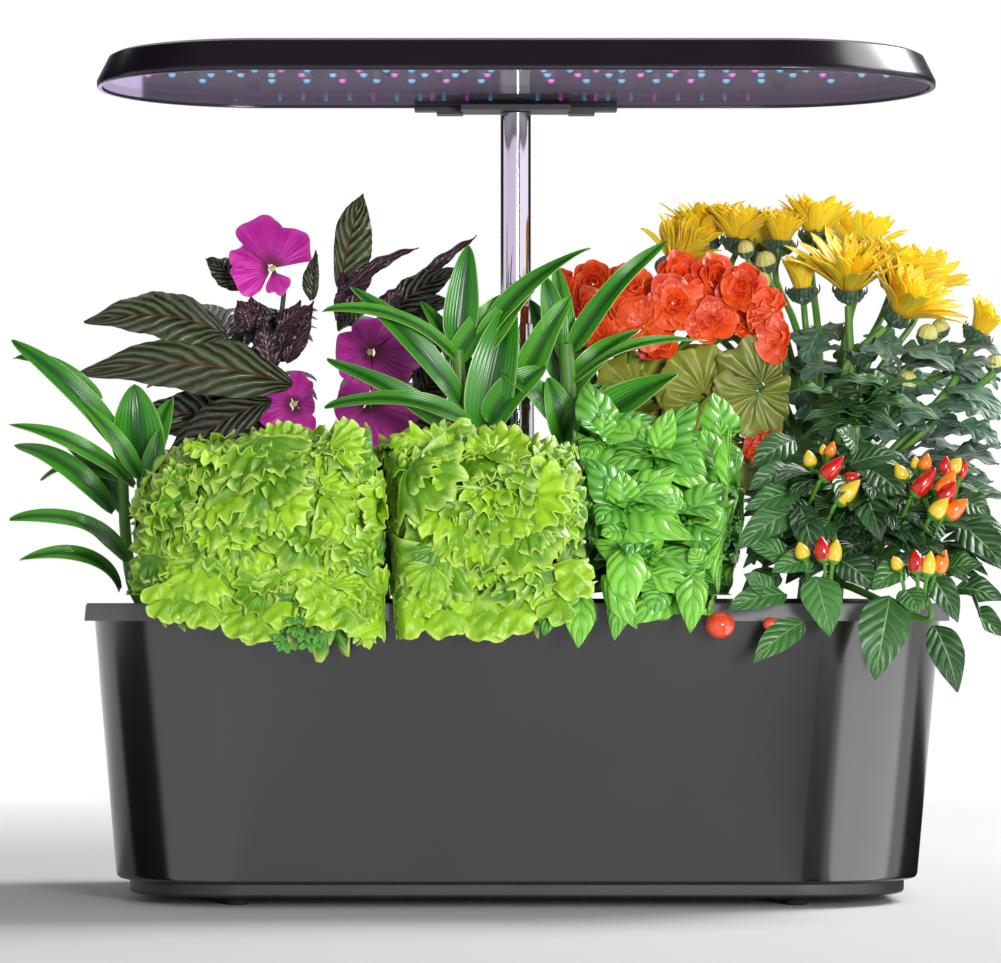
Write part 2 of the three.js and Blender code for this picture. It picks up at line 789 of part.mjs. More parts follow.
// Corners of each cell in X, front left, front right, rear right and rear left, as shares of the outer
// pods' X; the middle of the foliage as shares of that X and of the row's depth
const reachShare = foliageReachX / podOuterX;
const poleShare = poleClearance / podOuterX;
const cellShares = {
  lettuce_left: { row: 'front', corners: [-1.29, -0.49, -0.49, -1.29], middle: [-0.87, 0.5] },
  lettuce_right: { row: 'front', corners: [-0.49, 0.28, 0.15, -0.49], middle: [-0.13, 0.5] },
  basil: { row: 'front', corners: [0.28, 0.6, 0.8, 0.15], middle: [0.47, 0.5] },
  pepper: { row: 'front', corners: [0.6, reachShare, reachShare, 0.8], middle: [1.12, 0.5] },
  bamboo: { row: 'middle', corners: [-reachShare, -0.72, -0.72, -reachShare], middle: [-1.16, 0.5] },
  dracaena: { row: 'middle', corners: [-0.72, 0.72, 0.72, -0.72], middle: [0, 0.5] },
  tomato: { row: 'middle', corners: [0.72, reachShare, reachShare, 0.72], middle: [1.16, 0.5] },
  impatiens_left: { row: 'rear', corners: [-reachShare, -0.66, -0.66, -reachShare], middle: [-1.09, 0.4] },
  impatiens_right: { row: 'rear', corners: [-0.66, -poleShare, -poleShare, -0.66], middle: [-0.38, 0.4] },
  begonia: { row: 'rear', corners: [poleShare, 1.02, 0.2, poleShare], middle: [0.38, 0.3] },
  chrysanthemum: { row: 'rear', corners: [1.02, reachShare, reachShare, 0.2], middle: [1.1, 0.45] },
};

function cellOf(pod) {
  const { row, corners, middle } = cellShares[pod.name];
  const [front, rear] = rows[row];
  const points = corners.map((share, corner) => [share * podOuterX, corner < 2 ? front : rear]);
  const x = middle[0] * podOuterX;
  const y = THREE.MathUtils.lerp(front, rear, middle[1]);
  const walls = points.map(([x0, y0], corner) => {
    const [x1, y1] = points[(corner + 1) % points.length];
    const length = Math.hypot(x1 - x0, y1 - y0);
    const normal = [(y1 - y0) / length, (x0 - x1) / length];
    return { normal, reach: normal[0] * (x0 - x) + normal[1] * (y0 - y) - cellGap / 2 };
  });
  return { x, y, walls };
}

// Presses a point of the plan into the cell, ever more the nearer it is to the cell's edge
function fit(cell, point) {
  const dx = point.x - cell.x;
  const dy = point.y - cell.y;
  const shares = cell.walls.map(({ normal, reach }) => (normal[0] * dx + normal[1] * dy) / reach);
  const share = Math.max(...shares);
  if (share <= softShare) return point;
  const spare = 1 - softShare;
  const pressed = softShare + spare * (1 - Math.exp((softShare - share) / spare));
  return point.setX(cell.x + dx * pressed / share).setY(cell.y + dy * pressed / share);
}

// How far the cell goes from a point in one direction
function reachFrom(cell, point, heading) {
  const [dirX, dirY] = [Math.cos(heading), Math.sin(heading)];
  return Math.min(...cell.walls.map(({ normal, reach }) => {
    const speed = normal[0] * dirX + normal[1] * dirY;
    const distance = reach - normal[0] * (point.x - cell.x) - normal[1] * (point.y - cell.y);
    return speed > 0 ? distance / speed : Infinity;
  }));
}

// Lowest level that foliage may have at a place; past the lip it hangs
function floorAt(x, y) {
  if (y > rearStripY) return deckTop + rearClearance;
  const outside = Math.max(Math.abs(x) - lipWidth / 2, -y - lipDepth / 2) - drapeStart;
  return deckTop + leafClearance - drapeSlope * Math.max(0, outside);
}

function settle(cell, point) {
  fit(cell, point);
  const outside = Math.max(0, Math.abs(point.x) - lipWidth / 2, -point.y - lipDepth / 2);
  return point.setZ(Math.max(point.z - outside * hangSlope, floorAt(point.x, point.y)));
}

// A number from 0 to 1 that follows from the seed alone
function noise(seed) {
  const wave = Math.sin(seed * 12.9898 + 4.1) * 43758.5453;
  return wave - Math.floor(wave);
}

function between(low, high, seed) {
  return THREE.MathUtils.lerp(low, high, noise(seed));
}

// Closed skin over rings of points; a ring of one point makes a tip, any other end is flat
function skin(rings) {
  const positions = rings.flat().flatMap((point) => [point.x, point.y, point.z]);
  const starts = rings.map((_, level) => rings.slice(0, level).reduce((sum, ring) => sum + ring.length, 0));
  const index = [];
  for (let level = 0; level + 1 < rings.length; level += 1) {
    const [low, high] = [starts[level], starts[level + 1]];
    const [count, nextCount] = [rings[level].length, rings[level + 1].length];
    for (let side = 0; side < Math.max(count, nextCount); side += 1) {
      const turn = (side + 1) % Math.max(count, nextCount);
      if (nextCount === 1) index.push(low + side, low + turn, high);
      else if (count === 1) index.push(low, high + turn, high + side);
      else index.push(low + side, low + turn, high + turn, low + side, high + turn, high + side);
    }
  }
  const last = starts[starts.length - 1];
  for (let side = 1; side + 1 < rings[0].length; side += 1) index.push(0, side + 1, side);
  for (let side = 1; side + 1 < rings[rings.length - 1].length; side += 1) {
    index.push(last, last + side, last + side + 1);
  }
  return plainGeometry(positions, index);
}

// Leaf: a keeled blade along an arching midrib. widthShares gives its outline from base to tip.
function blade(cell, base, heading, leaf, seed) {
  const length = Math.min(leaf.length, reachFrom(cell, base, heading) * leaf.fillShare);
  const side = new THREE.Vector3(-Math.sin(heading), Math.cos(heading), 0);
  const count = leaf.widthShares.length;
  const centres = Array.from({ length: count + 1 }, (_, station) => {
    const along = station / count;
    const sway = leaf.width * Math.sin(along * Math.PI) * between(-0.3, 0.3, seed);
    const point = new THREE.Vector3(
      base.x + Math.cos(heading) * length * along,
      base.y + Math.sin(heading) * length * along,
      base.z + leaf.lift * along - leaf.droop * along * along,
    );
    return settle(cell, point.addScaledVector(side, sway));
  });
  const rings = leaf.widthShares.map((share, station) => {
    const along = centres[station + 1].clone().sub(centres[station]).normalize();
    const across = side.clone().addScaledVector(along, -side.dot(along)).normalize();
    const up = along.clone().cross(across).normalize();
    const place = (sideways, upwards) => fit(
      cell, centres[station].clone().addScaledVector(across, sideways).addScaledVector(up, upwards),
    );
    const half = leaf.width * share / 2;
    const edge = leaf.thickness / 2;
    return [place(-half, edge), place(0, -edge - half * leaf.foldShare), place(half, edge)];
  });
  return skin([...rings, [centres[count]]]);
}

const stalkSides = 3;

// Stalk through a few points, thinner towards its end
function stalk(cell, points, radius, endRadius) {
  const centres = points.map((point) => fit(cell, point.clone()));
  return skin(centres.map((centre, i) => {
    const from = centres[Math.max(i - 1, 0)];
    const to = centres[Math.min(i + 1, centres.length - 1)];
    const along = to.clone().sub(from).normalize();
    const across = new THREE.Vector3(0, 1, 0).cross(along).normalize();
    const up = along.clone().cross(across);
    const size = THREE.MathUtils.lerp(radius, endRadius, i / (centres.length - 1));
    return Array.from({ length: stalkSides }, (_, turn) => {
      const angle = turn / stalkSides * 2 * Math.PI;
      const sideways = centre.clone().addScaledVector(across, size * Math.cos(angle));
      return sideways.addScaledVector(up, size * Math.sin(angle));
    });
  }));
}

// Flower, bud or fruit: a cup whose edge goes in once between two petals. It opens the way it faces.
function flower(cell, base, facing, head) {
  const along = facing.clone().normalize();
  const across = new THREE.Vector3(0, 1, 0).cross(along).normalize();
  const up = along.clone().cross(across);
  const edge = Array.from({ length: 2 * head.petals }, (_, i) => {
    const angle = i / head.petals * Math.PI;
    const radius = i % 2 ? head.radius * head.notchShare : head.radius;
    return fit(cell, base.clone().addScaledVector(across, radius * Math.cos(angle))
      .addScaledVector(up, radius * Math.sin(angle)).addScaledVector(along, head.depth));
  });
  const onAxis = (share) => [fit(cell, base.clone().addScaledVector(along, head.depth * share))];
  return skin([onAxis(-head.footShare), edge, onAxis(head.centreShare)]);
}

// The neck goes down into the sponge
function neck(pod) {
  const bottom = basketTop - plantHoleDepth;
  return rod(pod.x, pod.y, neckRadius, bottom, basketTop + 2 * crownHeight, neckSides);
}

// Place in a plant: height above its crown, and how far it has gone from the pod
function inPlant(pod, kind, [shareX, shareY, shareZ], along = 1) {
  return new THREE.Vector3(
    pod.x + kind.spread * shareX * along * along,
    pod.y + kind.spread * shareY * along * along,
    basketTop + crownHeight + kind.height * shareZ * along,
  );
}

// One body out of many; what the leaves enclose between them is filled
function joined(parts) {
  const bodies = wasm.Manifold.union(parts.map(solid)).decompose();
  return geometryOf(bodies.reduce((most, body) => (body.volume() > most.volume() ? body : most)));
}

// Stalks that leave the crown upright and lean outwards, with leaves round them and a head on some
function leafyPlant(pod, kind, seed) {
  const cell = cellOf(pod);
  const parts = [neck(pod)];
  kind.tipShares.forEach((tip, stem) => {
    const points = [0, 0.4, 0.7, 1].map((along) => inPlant(pod, kind, tip, along));
    parts.push(stalk(cell, points, kind.stemRadius, kind.stemRadius * 0.7));
    kind.fan.forEach((turn, i) => {
      const along = THREE.MathUtils.lerp(kind.bareShare, 1, i / Math.max(kind.fan.length - 1, 1));
      const base = fit(cell, inPlant(pod, kind, tip, along));
      parts.push(blade(cell, base, Math.atan2(tip[1], tip[0]) + turn, kind.leaf, seed + stem * 10 + i));
    });
    if (kind.head) {
      const facing = new THREE.Vector3(tip[0], tip[1] + kind.head.facingShare, 1);
      parts.push(flower(cell, fit(cell, inPlant(pod, kind, tip)), facing, kind.head));
    }
  });
  (kind.fruitShares || []).forEach((place) => {
    const base = fit(cell, inPlant(pod, kind, place));
    parts.push(flower(cell, base, new THREE.Vector3(0, 0, 1), kind.fruit));
  });
  return joined(parts);
}

// Loose-leaf lettuce: frilled skirts of leaf, one above the other, in a single skin
const lettuce = {
  height: 73, spread: 62, points: 24, frillShare: 0.16, frillHeight: 5, frills: 12,
  profileShares: [
    [0.12, -0.06], [0.34, 0.02], [0.54, 0.04], [0.76, 0.06], [1, 0.1], [0.98, 0.22],
    [0.66, 0.32], [0.88, 0.54], [0.5, 0.66], [0.58, 0.86], [0.5, 0.94], [0.22, 0.84],
  ],
};

function lettuceHead(pod, seed) {
  const cell = cellOf(pod);
  const rings = lettuce.profileShares.map(([radiusShare, heightShare], level) => Array.from(
    { length: lettuce.points },
    (_, i) => {
      const angle = i / lettuce.points * 2 * Math.PI;
      const heading = angle + level * 0.12 + seed;
      const frill = Math.sin(angle * lettuce.frills + level) + 0.6 * Math.sin(angle * 5 + level * 2 + seed);
      const radius = lettuce.spread * radiusShare * (1 + lettuce.frillShare * frill * radiusShare);
      const lean = THREE.MathUtils.smoothstep(heightShare, -0.06, 0.1);
      const point = new THREE.Vector3(
        THREE.MathUtils.lerp(pod.x, cell.x, lean) + radius * Math.cos(heading),
        THREE.MathUtils.lerp(pod.y, cell.y, lean) + radius * Math.sin(heading),
        basketTop + crownHeight + lettuce.height * heightShare + lettuce.frillHeight * radiusShare * frill,
      );
      return settle(cell, point);
    },
  ));
  const top = fit(cell, new THREE.Vector3(cell.x, cell.y, basketTop + crownHeight + lettuce.height));
  return joined([neck(pod), skin([...rings, [top]])]);
}

// Leaf kinds
const ovalLeaf = { thickness: 1.8, foldShare: 0.16, fillShare: 1.3, widthShares: [0.16, 1, 0.72] };
const strapLeaf = {
  length: 98, width: 15, lift: 68, droop: 54, thickness: 1.8, foldShare: 0.2, fillShare: 1.4,
  widthShares: [0.5, 1, 0.9],
};

const plantKinds = {
  basil: {
    height: 74, spread: 42, stemRadius: 2, bareShare: 0.6, fan: [-0.8, 1, 0.1],
    leaf: { ...ovalLeaf, length: 34, width: 25, lift: 16, droop: 12 },
    tipShares: [[-0.25, -0.75, 0.8], [0.85, -0.55, 0.86], [0.7, 0.35, 1], [-0.3, 0.35, 0.94]],
  },
  pepper: {
    height: 62, spread: 66, stemRadius: 2.2, bareShare: 0.6, fan: [-0.7, 0.6, 0],
    leaf: { ...ovalLeaf, length: 50, width: 24, lift: 14, droop: 22 },
    tipShares: [[-0.4, -0.35, 0.92], [0.35, -0.5, 0.8], [0.95, -0.2, 1], [0.15, 0.3, 1]],
    fruit: { petals: 3, radius: 4, notchShare: 1, depth: 4, centreShare: 4.5, footShare: 0.5 },
    fruitShares: [[-0.4, -0.35, 0.98], [0.35, -0.5, 0.86], [0.95, -0.2, 1.06]],
  },
  bamboo: {
    height: 92, spread: 42, stemRadius: 3, bareShare: 0.6, fan: [0.25, 2.9, -0.2], leaf: strapLeaf,
    tipShares: [[-0.6, -0.25, 0.98], [-0.95, 0.05, 0.72], [-0.1, 0.2, 0.6]],
  },
  dracaena: {
    height: 136, spread: 30, stemRadius: 4, bareShare: 0.5, fan: [0.2, 0.5, -0.3, 0.05, 2.6, -0.2],
    leaf: strapLeaf,
    tipShares: [[0.8, -0.2, 0.86], [-0.6, 0.15, 1]],
  },
  tomato: {
    height: 92, spread: 40, stemRadius: 2.4, bareShare: 0.5, fan: [0.5, -0.5, 2.8, 0],
    leaf: { ...ovalLeaf, length: 50, width: 26, lift: 22, droop: 24 },
    tipShares: [[-0.1, 0.05, 1], [0.9, -0.1, 0.8]],
  },
  impatiens_left: {
    height: 165, spread: 60, stemRadius: 3, bareShare: 0.28, fan: [-0.5, 0.5, -0.2, 0.6, -0.6],
    leaf: { ...ovalLeaf, length: 88, width: 34, lift: 46, droop: 42, widthShares: [0.14, 0.9, 0.9] },
    tipShares: [[0.35, -0.1, 1], [-0.5, -0.1, 0.76], [-0.2, 0.7, 0.8]],
    head: {
      petals: 5, radius: 20, notchShare: 0.62, depth: 6, centreShare: 0.4, footShare: 1, facingShare: -2,
    },
  },
  impatiens_right: {
    height: 150, spread: 40, stemRadius: 3, bareShare: 0.4, fan: [-0.6, 0.6, 0],
    leaf: { ...ovalLeaf, length: 60, width: 28, lift: 46, droop: 36, widthShares: [0.14, 0.9, 0.9] },
    tipShares: [[-0.7, -0.3, 0.74], [-0.3, 0.5, 0.98], [0.5, -0.3, 0.6]],
    head: {
      petals: 5, radius: 21, notchShare: 0.62, depth: 6, centreShare: 0.4, footShare: 1, facingShare: -2,
    },
  },
  begonia: {
    height: 147, spread: 55, stemRadius: 2.6, bareShare: 0.66, fan: [-0.8, 0.8],
    leaf: { ...ovalLeaf, length: 42, width: 38, lift: 12, droop: 20, widthShares: [0.5, 1, 0.8] },
    tipShares: [[-0.25, -0.3, 0.96], [0.3, -0.35, 0.99], [0.85, -0.4, 0.86], [0.1, 0.4, 1]],
    head: {
      petals: 6, radius: 14, notchShare: 0.84, depth: 8, centreShare: 1.5, footShare: 0.6, facingShare: -0.9,
    },
  },
  chrysanthemum: {
    height: 168, spread: 84, stemRadius: 2.4, bareShare: 0.4, fan: [-0.5, 0.5, 0],
    leaf: { ...ovalLeaf, length: 42, width: 24, lift: 14, droop: 18 },
    tipShares: [
      [-0.7, 0.85, 0.98], [-0.12, 0.1, 1], [0.42, -0.15, 0.96], [0.95, 0.1, 0.74], [0.3, 0.65, 0.94],
    ],
    head: {
      petals: 8, radius: 22, notchShare: 0.7, depth: 14, centreShare: 0.6, footShare: 0.3, facingShare: -0.5,
    },
  },
};

// Materials
function finish(color, roughness, metalness = 0, extra = {}) {
  return new THREE.MeshStandardMaterial({ color, roughness, metalness, flatShading: true, ...extra });
}

const tankPlastic = finish(0x4a4a4c, 0.38);
const deckPlastic = finish(0x626264, 0.5);
const blackPlastic = finish(0x1c1c1e, 0.45);
const rubber = finish(0x101010, 0.9);
const lampPlastic = finish(0x261f2c, 0.3);
const chrome = finish(0xd6d2dc, 0.12, 1);
const clearPlastic = finish(0xb9b4c0, 0.1, 0, { transparent: true, opacity: 0.4 });
const boardGreen = finish(0xf0f0f2, 0.5);
const basketPlastic = finish(0x1f1f21, 0.55);
const spongeFoam = finish(0x5a4636, 0.95);
const leafRoughness = 0.6;
const leafColours = {
  lettuce_left: 0x9fca35, lettuce_right: 0x9fca35, basil: 0x55b83a, pepper: 0x2f6a2a, bamboo: 0x3f9a2c,
  dracaena: 0x2f8a22, tomato: 0x356f2c, impatiens_left: 0x3d4a33, impatiens_right: 0x8f2a86,
  begonia: 0xd8431f, chrysanthemum: 0xe0b52a,
};

// The garden

const garden = new THREE.Group();
garden.name = 'hydroponic_garden';

function add(name, geometry, material) {
  const flat = geometry.index ? geometry.toNonIndexed() : geometry;
  flat.computeVertexNormals();
  const mesh = new THREE.Mesh(flat, material);
  mesh.name = name;
  garden.add(mesh);
  return mesh;
}

add('tank', tank(), tankPlastic);
add('base_plinth', basePlinth(), blackPlastic);
for (const [end, y] of [['front', -footSpacingY / 2], ['rear', footSpacingY / 2]]) {
  for (const [side, x] of [['left', -footSpacingX / 2], ['right', footSpacingX / 2]]) {
    add(`foot_${end}_${side}`, foot(), rubber).position.set(x, y, 0);
  }
}
add('deck', deck(), deckPlastic);
add('control_panel', controlPanel(), blackPlastic);
add('button_light', button(-1), deckPlastic);
add('button_pump', button(1), deckPlastic);
add('control_board', controlBoard(), boardGreen);
add('filler_lid', fillerLid(), deckPlastic);
add('lid_pin', lidPin(), deckPlastic);
add('power_inlet', powerInlet(), blackPlastic);
add('pump_housing', pumpHousing(), blackPlastic);
add('pump_strainer', pumpStrainer(), blackPlastic);
add('pump_impeller', pumpImpeller(), deckPlastic);
add('riser_tube', riserTube(), clearPlastic);
add('float', float(), boardGreen);
add('pole_socket', poleSocket(), blackPlastic);
add('outer_pole', outerPole(), chrome);
add('inner_pole', innerPole(), chrome);
add('lamp_mount', lampMount(), blackPlastic);
add('lamp_housing', lampHousing(), lampPlastic);
add('led_board', ledBoard(), boardGreen);
add('clear_cover', clearCover(), clearPlastic);
pods.forEach((pod, seed) => {
  const kind = plantKinds[pod.name];
  add(`basket_${pod.name}`, basket(pod), basketPlastic);
  add(`sponge_${pod.name}`, sponge(pod), spongeFoam);
  const plant = kind ? leafyPlant(pod, kind, seed) : lettuceHead(pod, seed);
  add(`plant_${pod.name}`, plant, finish(leafColours[pod.name], leafRoughness));
});

export default garden;
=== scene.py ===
import json
import math
import random
import bmesh
import bpy
import numpy as np
from mathutils import Matrix, Vector


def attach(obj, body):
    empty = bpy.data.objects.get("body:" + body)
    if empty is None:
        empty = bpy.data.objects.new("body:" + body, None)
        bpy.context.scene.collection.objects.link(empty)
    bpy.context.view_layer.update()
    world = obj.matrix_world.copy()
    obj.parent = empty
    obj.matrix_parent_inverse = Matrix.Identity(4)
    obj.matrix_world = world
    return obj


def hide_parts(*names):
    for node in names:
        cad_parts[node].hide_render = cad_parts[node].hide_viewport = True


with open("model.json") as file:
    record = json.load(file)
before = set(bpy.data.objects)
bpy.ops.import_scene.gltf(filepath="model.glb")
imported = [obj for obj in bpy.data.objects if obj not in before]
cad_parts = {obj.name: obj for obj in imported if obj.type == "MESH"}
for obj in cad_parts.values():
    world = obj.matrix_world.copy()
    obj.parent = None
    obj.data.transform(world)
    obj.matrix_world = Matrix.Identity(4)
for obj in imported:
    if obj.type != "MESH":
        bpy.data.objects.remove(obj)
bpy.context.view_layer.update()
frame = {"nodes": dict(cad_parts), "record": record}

nodes = frame["nodes"]
bpy.context.scene.view_settings.view_transform = "Standard"
mm = 0.001
print("frame loaded:", len(nodes), "nodes")


def hexColour(text):
    channels = [int(text[i:i + 2], 16) / 255 for i in (1, 3, 5)]
    linear = [c / 12.92 if c <= 0.04045 else ((c + 0.055) / 1.055) ** 2.4 for c in channels]
    return (*linear, 1.0)


def addNode(tree, kind, settings=None, links=None):
    # a setting is the node's own or a socket's; a link comes from a socket or a node's first live output
    node = tree.nodes.new("ShaderNode" + kind)
    for key, value in (settings or {}).items():
        if isinstance(key, str) and key not in node.inputs:
            setattr(node, key, value)
        else:
            node.inputs[key].default_value = value
    for key, source in (links or {}).items():
        if not isinstance(source, bpy.types.NodeSocket):
            source = next(output for output in source.outputs if output.enabled)
        tree.links.new(source, node.inputs[key])
    return node


def startMaterial(name):
    material = bpy.data.materials.new(name)
    material.use_nodes = True
    material.node_tree.nodes.clear()
    return material, material.node_tree


def closeMaterial(tree, settings, links):
    shader = addNode(tree, "BsdfPrincipled", settings, links)
    addNode(tree, "OutputMaterial", links={"Surface": shader})


def mouldedPlastic(name, look):
    # the tool's eroded skin breaks the gloss up, and the cooling melt leaves slow clouds in it
    material, tree = startMaterial(name)
    place = addNode(tree, "TexCoord").outputs["Object"]
    grain = addNode(tree, "TexNoise", {"Scale": 1 / (look["grainMm"] * mm), "Detail": 3.0},
                    {"Vector": place})
    cloud = addNode(tree, "TexNoise", {"Scale": 1 / (look["cloudMm"] * mm), "Detail": 3.0},
                    {"Vector": place})
    tint = {"data_type": "RGBA", 6: hexColour(look["dark"]), 7: hexColour(look["light"])}
    gloss = {"To Min": look["rough"] - look["spread"], "To Max": look["rough"] + look["spread"]}
    settings = {"IOR": look["ior"]}
    if "alpha" in look:
        settings["Alpha"] = look["alpha"]
    closeMaterial(tree, settings, {
        "Base Color": addNode(tree, "Mix", tint, {0: cloud}),
        "Roughness": addNode(tree, "MapRange", gloss, {"Value": cloud}),
        "Normal": addNode(tree, "Bump", {"Distance": look["grainDepthMm"] * mm}, {"Height": grain}),
    })
    return material


# The finishes of the rigid pieces, by the record's material slots
plastics = {
    # satin ABS tank, injection moulded in a finely eroded tool: dark, with a soft broad sheen and no sparkle
    "tank_plastic": ("satinAbsTank", {"dark": "#161617", "light": "#1a1a1b", "rough": 0.17, "spread": 0.02,
                                      "grainMm": 0.8, "grainDepthMm": 0.004, "cloudMm": 60, "ior": 1.66}),
    # the same ABS a shade lighter, slightly duller from being handled
    "deck_plastic": ("satinAbsDeck", {"dark": "#585859", "light": "#5e5e5f", "rough": 0.42, "spread": 0.04,
                                      "grainMm": 0.8, "grainDepthMm": 0.012, "cloudMm": 45, "ior": 1.5}),
    # black ABS with a coarser texture: nearly matt
    "black_plastic": ("mattBlackAbs", {"dark": "#131314", "light": "#1a1a1b", "rough": 0.48, "spread": 0.06,
                                       "grainMm": 0.7, "grainDepthMm": 0.02, "cloudMm": 30, "ior": 1.5}),
    # moulded nitrile rubber: black and dull, a little grey with dust
    "foot_rubber": ("mouldedFootRubber", {"dark": "#0d0d0d", "light": "#171716", "rough": 0.85,
                                          "spread": 0.06, "grainMm": 0.6, "grainDepthMm": 0.03, "cloudMm": 8,
                                          "ior": 1.5}),
    # white solder mask, screened on glass fibre board: an even, half-gloss skin over the weave
    "circuit_board": ("whiteSolderMask", {"dark": "#8f8793", "light": "#a29aa6", "rough": 0.35,
                                          "spread": 0.04, "grainMm": 0.9, "grainDepthMm": 0.01,
                                          "cloudMm": 25, "ior": 1.5}),
    # clear acrylic from a polished tool: it mirrors at a low angle, and the lamp's dark inside tints it
    "clear_plastic": ("polishedAcrylic", {"dark": "#5c5262", "light": "#665b6c", "rough": 0.06,
                                          "spread": 0.02, "grainMm": 6, "grainDepthMm": 0.004, "cloudMm": 90,
                                          "ior": 1.49, "alpha": 0.42}),
    # white polypropylene, moulded: waxy half-gloss
    "float_plastic": ("whitePolypropylene", {"dark": "#e0e0e2", "light": "#ececed", "rough": 0.34,
                                             "spread": 0.05, "grainMm": 1, "grainDepthMm": 0.012,
                                             "cloudMm": 12, "ior": 1.49}),
    # purple-black lacquer sprayed over ABS: smooth and deep, with a long soft highlight
    "lamp_plastic": ("purpleBlackLacquer", {"dark": "#150f18", "light": "#1f1723", "rough": 0.24,
                                            "spread": 0.03, "grainMm": 1.4, "grainDepthMm": 0.004,
                                            "cloudMm": 70, "ior": 1.42}),
    # black polypropylene, moulded: waxy and a little uneven in its gloss
    "basket_plastic": ("blackPolypropylene", {"dark": "#151516", "light": "#202021", "rough": 0.46,
                                              "spread": 0.08, "grainMm": 0.8, "grainDepthMm": 0.02,
                                              "cloudMm": 10, "ior": 1.49}),
}
finishes = {slotName: mouldedPlastic(name, look) for slotName, (name, look) in plastics.items()}

# bright nickel-chrome on drawn steel tube: a mirror, with the faintest haze drawn out along the tube
tubeLook = {"dark": "#cbc5d1", "light": "#d6d0da", "streakMm": 0.9, "stretch": 0.02, "rough": (0.05, 0.1)}
finishes["pole_chrome"], tree = startMaterial("brightChromePlate")
drawn = addNode(tree, "Mapping", {"Scale": (1, 1, tubeLook["stretch"])},
                {"Vector": addNode(tree, "TexCoord").outputs["Object"]})
streak = {"Scale": 1 / (tubeLook["streakMm"] * mm), "Detail": 2.0}
haze = addNode(tree, "TexNoise", streak, {"Vector": drawn})
gloss = {"To Min": tubeLook["rough"][0], "To Max": tubeLook["rough"][1]}
tint = {"data_type": "RGBA", 6: hexColour(tubeLook["dark"]), 7: hexColour(tubeLook["light"])}
closeMaterial(tree, {"Metallic": 1.0}, {
    "Base Color": addNode(tree, "Mix", tint, {0: haze}),
    "Roughness": addNode(tree, "MapRange", gloss, {"Value": haze}),
})

# open-celled polyurethane rooting foam, cut from a block: dull, with pores about a millimetre across,
# darkened inside as painted shade
foamLook = {"poreShade": "#2c2119", "web": "#6d5947", "poreMm": 1.6, "depthMm": 0.9}
finishes["sponge_foam"], tree = startMaterial("openCellFoam")
pores = addNode(tree, "TexVoronoi", {"Scale": 1 / (foamLook["poreMm"] * mm)},
                {"Vector": addNode(tree, "TexCoord").outputs["Object"]})
# the pore colour at each cell's middle is painted shade in the hollow
tint = {"data_type": "RGBA", 6: hexColour(foamLook["poreShade"]), 7: hexColour(foamLook["web"])}
closeMaterial(tree, {"Roughness": 0.95}, {
    "Base Color": addNode(tree, "Mix", tint, {0: pores}),
    "Normal": addNode(tree, "Bump", {"Distance": foamLook["depthMm"] * mm}, {"Height": pores}),
})
print("finishes of the rigid pieces made")

bodyOf = {node: body for body, owned in frame["record"]["behaviour"]["bodies"].items() for node in owned}
slotOf = {part["node"]: part["material_slot"] for part in frame["record"]["subparts"]}


def pick(piece, kind, test):
    # in edit mode, selects only the faces, edges or vertices that pass the test
    bpy.ops.mesh.select_mode(type=kind)
    bpy.ops.mesh.select_all(action="DESELECT")
    shape = bmesh.from_edit_mesh(piece.data)
    shape.normal_update()
    found = {"VERT": shape.verts, "EDGE": shape.edges, "FACE": shape.faces}[kind]
    for item in found:
        item.select_set(bool(test(item)))
    shape.select_flush_mode()
    bmesh.update_edit_mesh(piece.data)


def startBlock(name, size, middle):
    bpy.ops.object.select_all(action="DESELECT")
    bpy.ops.mesh.primitive_cube_add(size=1, location=[value * mm for value in middle])
    piece = bpy.context.object
    piece.name = name
    piece.scale = [value * mm for value in size]
    bpy.ops.object.transform_apply(location=True, rotation=True, scale=True)
    bpy.ops.object.mode_set(mode="EDIT")
    return piece


def startRod(name, radius, bottom, top, place, sides):
    bpy.ops.object.select_all(action="DESELECT")
    bpy.ops.mesh.primitive_cylinder_add(vertices=sides, radius=radius * mm, depth=(top - bottom) * mm,
                                        location=(place[0] * mm, place[1] * mm, (top + bottom) / 2 * mm))
    piece = bpy.context.object
    piece.name = name
    bpy.ops.object.transform_apply(location=True, rotation=True, scale=True)
    bpy.ops.object.mode_set(mode="EDIT")
    return piece


def roundUprights(piece, radius, steps):
    pick(piece, "EDGE", lambda edge: abs((edge.verts[0].co - edge.verts[1].co).normalized().z) > 0.9)
    bpy.ops.mesh.bevel(offset=radius * mm, segments=steps, affect="EDGES")


def pickCap(piece, up):
    # the outermost flat face that looks up, or down
    pick(piece, "FACE", lambda face: False)
    shape = bmesh.from_edit_mesh(piece.data)
    flat = [face for face in shape.faces if face.normal.z * (1 if up else -1) > 0.98]
    side = 1 if up else -1
    cap = max(flat, key=lambda face: (round(face.calc_center_median().z * side, 5), face.calc_area()))
    cap.select_set(True)
    bmesh.update_edit_mesh(piece.data)


easing = {"segments": 2, "fromAngle": 38, "smoothAngle": 34}


